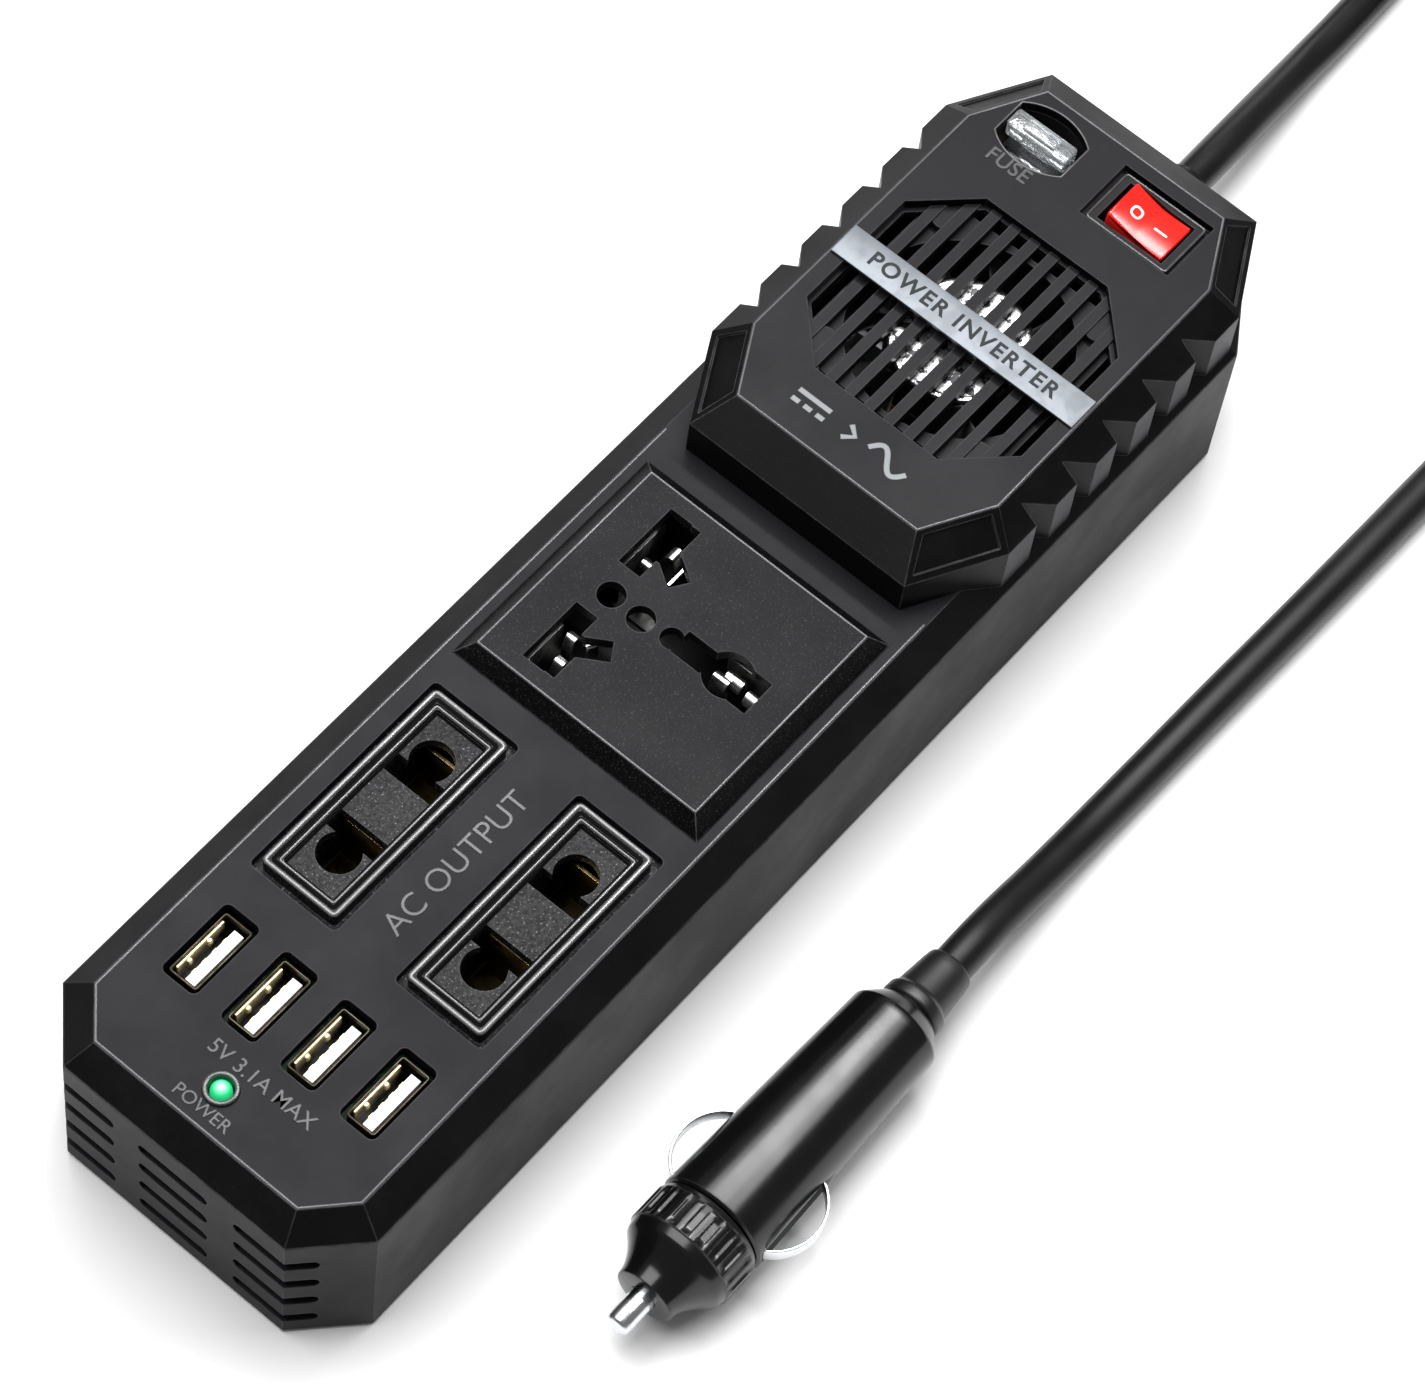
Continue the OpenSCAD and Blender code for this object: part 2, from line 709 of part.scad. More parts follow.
module fan_frame() {
    color("#2a2a2c") fan_center() difference() {
        union() {
            difference() {
                translate([0, 0, fan_z[0]]) linear_extrude(fan_z[1] - fan_z[0])
                    rounded(fan_size, fan_size, 2);
                translate([0, 0, fan_z[0] - 1]) cylinder(h = 12, r = 19);
            }
            for (a = [45:90:315]) rotate([0, 0, a]) translate([10, -1.4, fan_z[0]]) cube([9.4, 2.8, 1.5]);
            translate([0, 0, fan_z[0]]) cylinder(h = 1.5, r = 12);
            translate([0, 0, fan_z[0]]) cylinder(h = 7.2, r = 2.2);
        }
        translate([0, 0, fan_z[0] + 1]) cylinder(h = 12, r = 1 + fit_r);
        for (x = [-16, 16], y = [-16, 16]) post(x, y, 1.6, 34, 45);
    }
}

module fan_stator() {
    color("#b5713a") fan_center() difference() {
        translate([0, 0, 37]) cylinder(h = 4, r = 8.4);
        translate([0, 0, 36]) cylinder(h = 6, r = 2.2);
        for (a = [0:90:270]) rotate([0, 0, a + 45]) translate([4, -0.7, 36]) cube([8, 1.4, 6]);
    }
}

module fan_rotor() {
    color("#232325") fan_center() {
        difference() {
            translate([0, 0, 36.6]) cylinder(h = 7.3, r = hub_r);
            translate([0, 0, 36]) cylinder(h = 6.4, r = hub_r - 1.3);
        }
        translate([0, 0, 35.6]) cylinder(h = 7, r = 1);
        intersection() {
            difference() {
                translate([0, 0, 37]) cylinder(h = 6.6, r = 18.4);
                translate([0, 0, 36]) cylinder(h = 9, r = hub_r - 0.3);
            }
            for (a = [0:360 / 7:359]) rotate([0, 0, a]) translate([11, 0, 40.2]) rotate([38, 0, 0])
                translate([0, -5, -0.45]) cube([9, 10, 0.9]);
        }
    }
}

module fan_label() {
    color("#d4d6d9") fan_center() translate([0, 0, 43.9]) cylinder(h = 0.15, r = 11.6);
}

module fan_screws() {
    color("#8f9296") {
        grille_pins(2.4, 33, 34.3);
        grille_pins(1.18, 34.2, 45.2);
    }
}

// ---- electronics ----

module main_board() {
    color("#1f5a3a") difference() {
        block(at(177.5), 0, 61, 52, main_board_z, main_board_z + board_t);
        both_sides(main_posts) cylinder(h = 20, r = 1.1);
    }
}

module small_screw(z) {
    translate([0, 0, z]) cylinder(h = 1.4, r = 2);
    translate([0, 0, z - 5.4]) cylinder(h = 5.5, r = 1);
}

module board_screws() {
    color("#a8abaf") {
        both_sides(main_posts) small_screw(main_board_z + board_t);
        both_sides(usb_posts) small_screw(usb_board_z + board_t);
    }
}

module transformer_core() {
    color("#55565a") difference() {
        block(at(170), -10, 24, 22, 8.6, 26);
        difference() {
            block(at(170), -10, 17, 30, 11.6, 23);
            post(at(170), -10, 4, 11, 24);
        }
    }
}

module transformer_winding() {
    color("#d6a32c") difference() {
        post(at(170), -10, 7.8, 12, 22.6);
        post(at(170), -10, 4, 11, 24);
    }
}

module heat_sink() {
    color("#b9bcc0") {
        block(at(178), 19.4, 46, 1.8, 8.6, 28);
        for (i = [0:7]) block(at(158 + i * 5.7), 16, 1.2, 5.2, 8.6, 28);
    }
}

module power_transistors() {
    color("#2b2b2d") for (u = [162, 173, 184, 195]) {
        block(at(u), 22.5, 10, 4.4, 12, 24);
        for (k = [-2.5, 0, 2.5]) block(at(u) + k, 22.5, 0.8, 0.6, 8.6, 12.1);
    }
}

module filter_capacitors() {
    color("#31415e") for (y = [-16.5, -4.5]) {
        post(at(197), y, 5, 8.6, 28);
        post(at(197), y, 4.6, 27.9, 28.6);
    }
}

module output_choke() {
    color("#c07a35") translate([at(188), 5.6, 10.8]) rotate_extrude() translate([3.8, 0]) circle(2.2);
}

// ---- cord ----

function placed(route) = [for (p = route) [at(p[0]), p[1], p[2]]];

module cord_relief() {
    neck_r = exit_r - fit_r;
    color("#202022") translate([at(0), exit_y, exit_z]) rotate([0, 90, 0]) rotate_extrude() polygon([
        [0, 234.6], [6.2, 234.6], [6.2, body_l - wall_t], [neck_r, body_l - wall_t], [neck_r, body_l],
        [7, body_l], [7, body_l + 2], [6, body_l + 2.6], [4.2, relief_end], [0, relief_end]]);
}

module power_cord() {
    color("#1b1b1d") {
        tube(placed(route_out), cord_d / 2, 12, [1, 0, 0], [1, 0, 0]);
        tube(placed(route_back), cord_d / 2, 12, [-1, 0, 0], [-1, 0, 0]);
    }
}

module cord_coil() {
    color("#1b1b1d") translate([at(coil_u), coil_y, coil_z]) {
        rotate_extrude() translate([coil_r, 0]) circle(cord_d / 2, $fn = 24);
        translate([0, 0, cord_d]) rotate([0, 0, -90]) rotate_extrude(angle = 180) translate([coil_r, 0])
            circle(cord_d / 2, $fn = 24);
    }
}

module cord_tie() {
    color("#2a2a2c") translate([at(coil_u) + coil_r, coil_y + 2.5, coil_z + cord_d / 2]) rotate([90, 0, 0])
        linear_extrude(5) difference() {
            rounded(cord_d + 2.2, 2 * cord_d + 1.9, 3.6);
            rounded(cord_d + 0.3, 2 * cord_d + 0.3, 3.4);
        }
}

// ---- plug ----

module plug_barrel() {
    color("#222224") difference() {
        turned([[48, plug_bore], [48, 7.8], [54, 7.8], [54, 9.7], [99, 8.25], [103, 5], [103, 0], [84, 0],
            [84, plug_bore]]);
        for (s = [-1, 1]) block(at(contact_u), plug_y + s * 8, 16.8, 6, plug_z - 1.85, plug_z + 1.85);
    }
}

module plug_boot() {
    color("#1f1f21") turned([[103, 0], [103, 4.9], [105, 4.6], [113.5, 3.9], [113.5, 0]]);
}

module plug_nose() {
    color("#222224") difference() {
        turned([[38, 0], [38, 5.3], [39.6, 5.6], [41.6, 6.4], [43.6, 7.9], [45, 9.1], [46.2, 9.3],
            [46.2, 9.7], [52.6, 9.9], [52.6, 9.5], [53.7, 9.5], [53.7, 0]]);
        turned([[37, 0], [37, tip_r + fit_r], [43, tip_r + fit_r], [43, 0]]);
        turned([[42, 0], [42, 3.9], [46.4, 3.9], [46.4, 8.2], [54, 8.2], [54, 0]]);
        translate([at(0), plug_y, plug_z]) for (a = [0:15:345]) rotate([a, 0, 0])
            translate([46.8, -0.35, 9.3]) cube([5.2, 0.7, 2]);
    }
}

module plug_tip() {
    color("#cfd1d4") turned([
        [plug_u, 0], [plug_u, tip_r - 0.9], [plug_u + 0.2, tip_r - 0.45], [plug_u + 0.6, tip_r - 0.12],
        [plug_u + 1.1, tip_r], [42.4, tip_r], [42.4, 3.4], [44, 3.4], [44, 0]]);
}

module plug_contact(side) {
    color("#cfd1d4") translate([at(contact_u), plug_y, plug_z - 1.5]) {
        intersection() {
            translate([0, side * contact_off, 0]) difference() {
                cylinder(h = 3, r = contact_r);
                translate([0, 0, -1]) cylinder(h = 5, r = contact_r - 0.6);
            }
            translate([-8, side * 12 - 5, -1]) cube([16, 10, 5]);
        }
        for (x = [-8, 7.4]) translate([x, side * 8.1 - 1.2, 0]) cube([0.6, 2.4, 3]);
        translate([-8, side * 7.2 - 0.3, 0]) cube([16, 0.6, 3]);
    }
}

module plug_fuse() {
    color("#dfe9ef") {
        turned([[44, 0], [44, 3.2], [49, 3.2], [49, 3], [69, 3], [69, 3.2], [74, 3.2], [74, 0]]);
    }
}

// Centre line of a helix along +X with rise of one wire at each end.
function helix(r, length, turns, n) = [for (i = [0:turns * n]) let (a = 360 * i / n)
    [length * i / (turns * n), r * cos(a), r * sin(a)]];

module plug_spring() {
    wire = 0.45;
    color("#b9bcc0") translate([at(74) + wire, plug_y, plug_z])
        tube(helix(2.6, 10 - 2 * wire, 4, 12), wire, 6, [0, 0, 1], [0, 0, 1], [1, 0, 0]);
}

lower_case();
top_cover();
fan_housing();
fan_grille();
rating_band();
case_screws();
rubber_feet();
usb_shell(0);  // usb_shell_1
usb_shell(1);  // usb_shell_2
usb_shell(2);  // usb_shell_3
usb_shell(3);  // usb_shell_4
usb_tongue(0);  // usb_tongue_1
usb_tongue(1);  // usb_tongue_2
usb_tongue(2);  // usb_tongue_3
usb_tongue(3);  // usb_tongue_4
usb_contacts();
usb_board();
power_led();
led_ring();
two_pin(1);  // two_pin_left
two_pin(-1);  // two_pin_right
two_pin_contacts(1);  // two_pin_contacts_left
two_pin_contacts(-1);  // two_pin_contacts_right
universal_socket();
universal_contacts();
universal_back();
socket_leads();
switch_frame();
rocker();
switch_terminals();
fuse_holder();
fuse_clips();
fuse_body();
fuse_blades();
fan_frame();
fan_stator();
fan_rotor();
fan_label();
fan_screws();
main_board();
board_screws();
transformer_core();
transformer_winding();
heat_sink();
power_transistors();
filter_capacitors();
output_choke();
cord_relief();
power_cord();
cord_coil();
cord_tie();
plug_barrel();
plug_boot();
plug_nose();
plug_tip();
plug_contact(1);  // plug_contact_left
plug_contact(-1);  // plug_contact_right
plug_fuse();
plug_spring();
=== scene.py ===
"""Looks of a slim car power inverter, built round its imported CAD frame.

The case lies along X with its USB end at low X and its cord end at high X. Sizes in the classes below are in
millimetres in the frame's own axes, and every mesh is scaled to metres as it is built.
"""

from __future__ import annotations

import json
import logging
import math
from dataclasses import dataclass
from enum import Enum
from typing import Sequence

import bmesh
import bpy
import numpy as np
from mathutils import Matrix, Vector

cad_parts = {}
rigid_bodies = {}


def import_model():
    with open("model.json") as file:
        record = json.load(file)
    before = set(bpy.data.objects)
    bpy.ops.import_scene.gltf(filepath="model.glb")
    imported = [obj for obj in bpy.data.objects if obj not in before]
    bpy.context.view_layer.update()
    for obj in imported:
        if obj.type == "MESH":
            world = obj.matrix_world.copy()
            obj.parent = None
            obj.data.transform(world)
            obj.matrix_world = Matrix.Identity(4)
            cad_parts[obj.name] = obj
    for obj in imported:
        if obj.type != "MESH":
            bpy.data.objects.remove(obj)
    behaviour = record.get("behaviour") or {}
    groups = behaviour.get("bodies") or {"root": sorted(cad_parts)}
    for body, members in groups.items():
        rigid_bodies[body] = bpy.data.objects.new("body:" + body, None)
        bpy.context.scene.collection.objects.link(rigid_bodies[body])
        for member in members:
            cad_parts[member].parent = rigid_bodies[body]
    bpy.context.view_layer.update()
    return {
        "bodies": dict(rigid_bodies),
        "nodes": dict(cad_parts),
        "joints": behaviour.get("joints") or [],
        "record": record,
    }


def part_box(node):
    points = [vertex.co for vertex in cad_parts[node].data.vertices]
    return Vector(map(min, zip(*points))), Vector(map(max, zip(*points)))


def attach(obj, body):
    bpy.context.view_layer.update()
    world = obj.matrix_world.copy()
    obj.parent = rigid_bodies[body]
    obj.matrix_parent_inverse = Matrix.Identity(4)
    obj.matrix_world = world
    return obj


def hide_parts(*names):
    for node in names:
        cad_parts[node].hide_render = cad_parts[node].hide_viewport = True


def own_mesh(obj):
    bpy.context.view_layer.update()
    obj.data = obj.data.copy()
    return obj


LOG = logging.getLogger("inverter")
MM = 0.001
TINY = 1e-9
# Edges that turn more than this many degrees stay crisp: on most pieces, on formed sheet, on fine beads.
CRISP, CRISP_SHEET, CRISP_BEAD = 32.0, 40.0, 60.0
BEVEL_SAMPLES = 4
# Tone of the glints painted on the grain.
GLINT_TONE = (0.22, 0.22, 0.23)
DUST_TONE = (0.34, 0.33, 0.32)
INK_TONE = (0.015, 0.015, 0.017)
MAIN_BODY = "inverter"
Colour = tuple[float, float, float]
Frame = dict


# -----------------------------------------------------------------------------------------------------------
# Surfaces worked out as arrays
# -----------------------------------------------------------------------------------------------------------


class Plane(Enum):
    """Which frame axes an outline's first, second and height coordinates become."""

    ACROSS_X = (1, 2, 0)
    ACROSS_Y = (0, 2, 1)


def span(node: str) -> tuple[np.ndarray, np.ndarray]:
    """Lowest and highest corner of a CAD node.

    Args:
        node: the node's name.

    Returns:
        The two corners in millimetres.
    """
    low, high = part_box(node)
    return np.array(low) / MM, np.array(high) / MM


def middle(node: str) -> np.ndarray:
    """Centre of a CAD node's box, in millimetres."""
    low, high = span(node)
    return (low + high) / 2


def plan_centre(node: str) -> np.ndarray:
    """Centre of a CAD node's box in the plan, as a point at height 0, in millimetres."""
    return middle(node) * [1, 1, 0]


def unit(vectors: np.ndarray) -> np.ndarray:
    """Vectors along the last axis, scaled to length one."""
    return vectors / np.maximum(np.linalg.norm(vectors, axis=-1, keepdims=True), TINY)


def rounded(points: Sequence[Sequence[float]], reach: float, steps: int = 5,
            closed: bool = True) -> np.ndarray:
    """Rounds the corners of a line of points.

    Each corner is traded for a parabola that leaves the line at reach before the corner and joins it at
    reach after: (1-t)^2 a + 2t(1-t) p + t^2 b, with a and b the two leaving points.

    Args:
        points: the corners, in two or three coordinates.
        reach: how far from a corner its curve starts, cut to 0.49 of the shorter side.
        steps: points per corner.
        closed: whether the last point joins the first.

    Returns:
        The rounded line as an array.
    """
    p = np.asarray(points, float)
    before, after = np.roll(p, 1, 0) - p, np.roll(p, -1, 0) - p
    size_b = np.linalg.norm(before, axis=1, keepdims=True)
    size_a = np.linalg.norm(after, axis=1, keepdims=True)
    r = np.minimum(reach, 0.49 * np.minimum(size_a, size_b))
    a, b = p + before / np.maximum(size_b, TINY) * r, p + after / np.maximum(size_a, TINY) * r
    t = np.linspace(0, 1, steps)[None, :, None]
    curve = (1 - t) ** 2 * a[:, None] + 2 * t * (1 - t) * p[:, None] + t**2 * b[:, None]
    if closed:
        return curve.reshape(-1, p.shape[1])
    return np.concatenate([p[:1], curve[1:-1].reshape(-1, p.shape[1]), p[-1:]])


def outward(outline: np.ndarray) -> np.ndarray:
    """Unit normals of a closed anticlockwise outline: its tangent turned a quarter turn clockwise."""
    along = np.roll(outline, -1, 0) - np.roll(outline, 1, 0)
    return unit(np.stack([along[:, 1], -along[:, 0]], 1))


def sideways(line: np.ndarray) -> np.ndarray:
    """Unit normals of an open line: its tangent turned a quarter turn anticlockwise."""
    along = unit(np.gradient(line, axis=0))
    return np.stack([-along[:, 1], along[:, 0]], 1)


def quarter(steps: int) -> tuple[np.ndarray, np.ndarray]:
    """Inset and rise, both 0 to 1, along a quarter round that goes from a side wall over to a flat end."""
    a = np.linspace(0, math.pi / 2, steps)
    return 1 - np.cos(a), np.sin(a)


def inset_rings(outline: np.ndarray, inset: np.ndarray, height: np.ndarray) -> np.ndarray:
    """Rings of an outline: one for each inset along the outline's normals, at the height given with it."""
    flat = outline[None] - inset[:, None, None] * outward(outline)[None]
    return np.concatenate([flat, np.broadcast_to(height[:, None, None], flat.shape[:2] + (1,))], 2)


def soft_prism(outline: np.ndarray, low: float, high: float, soft: float, steps: int = 4) -> np.ndarray:
    """Rings of an extruded outline whose two rims are quarter rounds.

    Args:
        outline: closed outline, anticlockwise.
        low: height of the lower end.
        high: height of the upper end.
        soft: radius of the rims.
        steps: rings per rim.

    Returns:
        An array of rings by points by three coordinates.
    """
    inset, rise = quarter(steps)
    height = np.concatenate([low + soft * (1 - rise[::-1]), high - soft * (1 - rise)])
    return inset_rings(outline, soft * np.concatenate([inset[::-1], inset]), height)


def soft_pipe(outline: np.ndarray, wall: float, low: float, high: float, steps: int = 4) -> np.ndarray:
    """Rings of a wall of even thickness round an outline, with its two rims rounded over.

    The rings run up the outside, over the top rim as a half round, down the inside and round the bottom rim,
    so the first ring follows the last.

    Args:
        outline: closed outer outline, anticlockwise.
        wall: thickness of the wall.
        low: height of the lower rim.
        high: height of the upper rim.
        steps: rings per half rim.

    Returns:
        An array of rings by points by three coordinates.
    """
    a = np.linspace(0, math.pi, 2 * steps)
    inset = np.concatenate([wall / 2 * (1 - np.cos(a)), wall / 2 * (1 + np.cos(a))])
    lift = wall / 2 * np.sin(a)
    return inset_rings(outline, inset, np.concatenate([high - wall / 2 + lift, low + wall / 2 - lift]))


def turned(profile: np.ndarray, centre: Sequence[float], axis: int, around: int = 96) -> np.ndarray:
    """Rings of a solid of revolution.

    A profile point (s, r) becomes a circle of radius r at distance s along the axis from the centre.

    Args:
        profile: points of distance along the axis and radius.
        centre: a point on the axis.
        axis: 0, 1 or 2 for X, Y or Z.
        around: points per circle.

    Returns:
        An array of rings by points by three coordinates.
    """
    turn = np.linspace(0, 2 * math.pi, around, endpoint=False)
    rings = np.zeros((len(profile), around, 3))
    rings[..., axis] = profile[:, :1]
    rings[..., (axis + 1) % 3] = profile[:, 1:] * np.cos(turn)
    rings[..., (axis + 2) % 3] = profile[:, 1:] * np.sin(turn)
    return rings + np.asarray(centre, float)


def box_outline(length: float, width: float, corner: float, steps: int = 6) -> np.ndarray:
    """Anticlockwise outline of a rectangle with rounded corners, about its centre."""
    x, y = length / 2, width / 2
    return rounded([[-x, -y], [x, -y], [x, y], [-x, y]], corner, steps)


def placed(rings: np.ndarray, plane: Plane, centre: Sequence[float] = (0, 0, 0)) -> np.ndarray:
    """Rings turned from outline axes into frame axes, then moved to a centre."""
    out = np.empty_like(rings)
    for source, target in enumerate(plane.value):
        out[..., target] = rings[..., source]
    return out + np.asarray(centre, float)


def bead(path: np.ndarray, width: float, height: float, level: float, closed: bool = True) -> np.ndarray:
    """Rings of a half-round bead laid along a line on a flat face.

    At each point of the line the section stands across the mitre: offset w/2 cos a sideways and h sin a up,
    with a from 0 to half a turn, and the sideways part stretched by 1 / cos of half the corner. It goes on
    down into the face by the root.

    Args:
        path: points of the line in the plan.
        width: the bead's width.
        height: how far it stands up.
        level: height of the face.
        closed: whether the line is a loop.

    Returns:
        An array of rings by points by three coordinates.
    """
    after = np.roll(path, -1, 0) - path
    before = path - np.roll(path, 1, 0)
    if not closed:
        after[-1], before[0] = before[-1], after[0]
    after, before = unit(after), unit(before)
    along = unit(after + before)
    sharpest, root = 0.4, 0.15
    stretch = 1 / np.maximum((along * after).sum(1), sharpest)
    side = np.stack([along[:, 1], -along[:, 0]], 1) * stretch[:, None]
    a = np.linspace(0, math.pi, 9)
    off = np.concatenate([width / 2 * np.cos(a), [-width / 2, width / 2]])
    rise = np.concatenate([height * np.sin(a), [-root, -root]])
    rings = np.empty((len(path), len(off), 3))
    rings[..., :2] = path[:, None] + side[:, None] * off[None, :, None]
    rings[..., 2] = level + rise[None]
    return rings


def flat_border(node: str, level: float, inset: float) -> np.ndarray:
    """Border of a node's flat face: the convex outline of its corners at a height, moved inwards.

    Args:
        node: the CAD node.
        level: height of the face.
        inset: how far the line lies inside the face's edge.

    Returns:
        The corners in the plan, anticlockwise.
    """
    mesh = bpy.data.objects[node].data
    corners = np.empty(len(mesh.vertices) * 3, np.float32)
    mesh.vertices.foreach_get("co", corners)
    corners = corners.reshape(-1, 3) / MM
    level_slack, least_turn = 0.02, 0.02
    flat = corners[np.abs(corners[:, 2] - level) < level_slack, :2]
    work = bmesh.new()
    bmesh.ops.convex_hull(work, input=[work.verts.new((x, y, 0.0)) for x, y in flat])
    hull = np.array([v.co[:2] for v in work.verts if v.link_edges])
    work.free()
    spoke = hull - hull.mean(0)
    hull = hull[np.argsort(np.arctan2(spoke[:, 1], spoke[:, 0]))]
    step_a, step_b = hull - np.roll(hull, 1, 0), np.roll(hull, -1, 0) - hull
    turn = step_a[:, 0] * step_b[:, 1] - step_a[:, 1] * step_b[:, 0]
    hull = hull[turn > least_turn * np.linalg.norm(step_a, axis=1) * np.linalg.norm(step_b, axis=1)]
    return hull - inset * outward(hull)


def tilted(rings: np.ndarray, degrees: float, pivot: Sequence[float]) -> np.ndarray:
    """Rings given about a pivot, turned about the X axis through it and moved there."""
    turn = np.array(Matrix.Rotation(math.radians(degrees), 3, "X"))
    return rings @ turn.T + np.asarray(pivot, float)


def new_object(name: str, data: bpy.types.ID) -> bpy.types.Object:
    """A new object at the origin, linked to the scene."""
    thing = bpy.data.objects.new(name, data)
    bpy.context.scene.collection.objects.link(thing)
    return thing


class Surface:
    """Collects grids of points in millimetres and turns them into one mesh object."""

    MERGE = 2e-7

    def __init__(self, name: str) -> None:
        """Starts an empty surface.

        Args:
            name: the piece's name.
        """
        self.name = name
        self.points: list[np.ndarray] = []
        self.faces: list[list[int]] = []
        self.count = 0

    def grid(self, rings: np.ndarray, loop: bool = False, around: bool = True, caps: bool = True) -> Surface:
        """Adds a grid of rings as quads.

        Args:
            rings: rings by points by three coordinates.
            loop: whether the last ring joins the first.
            around: whether each ring's last point joins its first.
            caps: whether a grid that isn't a loop gets a face over each end ring.

        Returns:
            The surface itself.
        """
        rows, cols = rings.shape[:2]
        r = np.arange(rows if loop else rows - 1)
        c = np.arange(cols if around else cols - 1)
        row, col = np.meshgrid(r, c, indexing="ij")
        row_b, col_b = (row + 1) % rows, (col + 1) % cols
        near, far = row * cols, row_b * cols
        quads = np.stack([near + col, near + col_b, far + col_b, far + col], -1)
        self.faces += (quads.reshape(-1, 4) + self.count).tolist()
        if caps and around and not loop:
            self.faces.append((np.arange(cols)[::-1] + self.count).tolist())
            self.faces.append((np.arange(cols) + self.count + (rows - 1) * cols).tolist())
        self.points.append(rings.reshape(-1, 3))
        self.count += rows * cols
        return self

    def build(self, sharp: float = CRISP) -> bpy.types.Object:
        """Makes the mesh object, with merged doubles and outward faces.

        Args:
            sharp: edges that turn more than this many degrees stay crisp.

        Returns:
            The new object, at the origin.
        """
        mesh = bpy.data.meshes.new(self.name)
        mesh.from_pydata((np.concatenate(self.points) * MM).tolist(), [], self.faces)
        work = bmesh.new()
        work.from_mesh(mesh)
        bmesh.ops.remove_doubles(work, verts=work.verts, dist=self.MERGE)
        bmesh.ops.recalc_face_normals(work, faces=work.faces)
        work.to_mesh(mesh)
        work.free()
        mesh.polygons.foreach_set("use_smooth", np.ones(len(mesh.polygons), bool))
        mesh.set_sharp_from_angle(angle=math.radians(sharp))
        return new_object(self.name, mesh)


def lettering(name: str, words: str, height: float, lift: float, weight: float = 0.0,
              spacing: float = 1.0) -> bpy.types.Object:
    """Raised letters centred on the origin, reading along +X, standing on the plane Z = 0.

    Args:
        name: the piece's name.
        words: the text.
        height: height of a capital letter.
        lift: how far the letters stand up.
        weight: how much fatter than plain the strokes are, as a share of the height.
        spacing: distance between letters against the font's own.

    Returns:
        A mesh object whose place is still to be applied.
    """
    cap_share = 0.73
    curve = bpy.data.curves.new(name, "FONT")
    curve.body = words
    curve.size = height / cap_share * MM
    curve.align_x = "CENTER"
    curve.align_y = "CENTER"
    curve.extrude = lift / 2 * MM
    curve.offset = weight * height * MM
    curve.space_character = spacing
    curve.resolution_u = 6
    holder = new_object(name + "_font", curve)
    bpy.context.view_layer.update()
    mesh = bpy.data.meshes.new_from_object(holder.evaluated_get(bpy.context.evaluated_depsgraph_get()))
    bpy.data.objects.remove(holder)
    mesh.name = name
    mesh.transform(Matrix.Translation((0, 0, lift / 2 * MM)))
    return new_object(name, mesh)


class Reading(Enum):
    """Which way a line of letters reads, as a turn about Z in degrees."""

    ALONG = 0.0
    ACROSS = -90.0


def lay(piece: bpy.types.Object, place: Sequence[float], level: float, reading: Reading) -> bpy.types.Object:
    """Turns a piece's mesh to its reading and lays it on a face, so that its object stays at the origin.

    Args:
        piece: the piece, centred on the origin.
        place: how far its middle is from the case's USB end, and across.
        level: height of the face.
        reading: which way it reads.

    Returns:
        The piece.
    """
    case_low, _ = span("lower_case")
    where = Vector((case_low[0] + place[0], place[1], level)) * MM
    piece.data.transform(Matrix.Translation(where) @ Matrix.Rotation(math.radians(reading.value), 4, "Z"))
    piece.data.update()
    return piece


# -----------------------------------------------------------------------------------------------------------
# Shader groups
# -----------------------------------------------------------------------------------------------------------


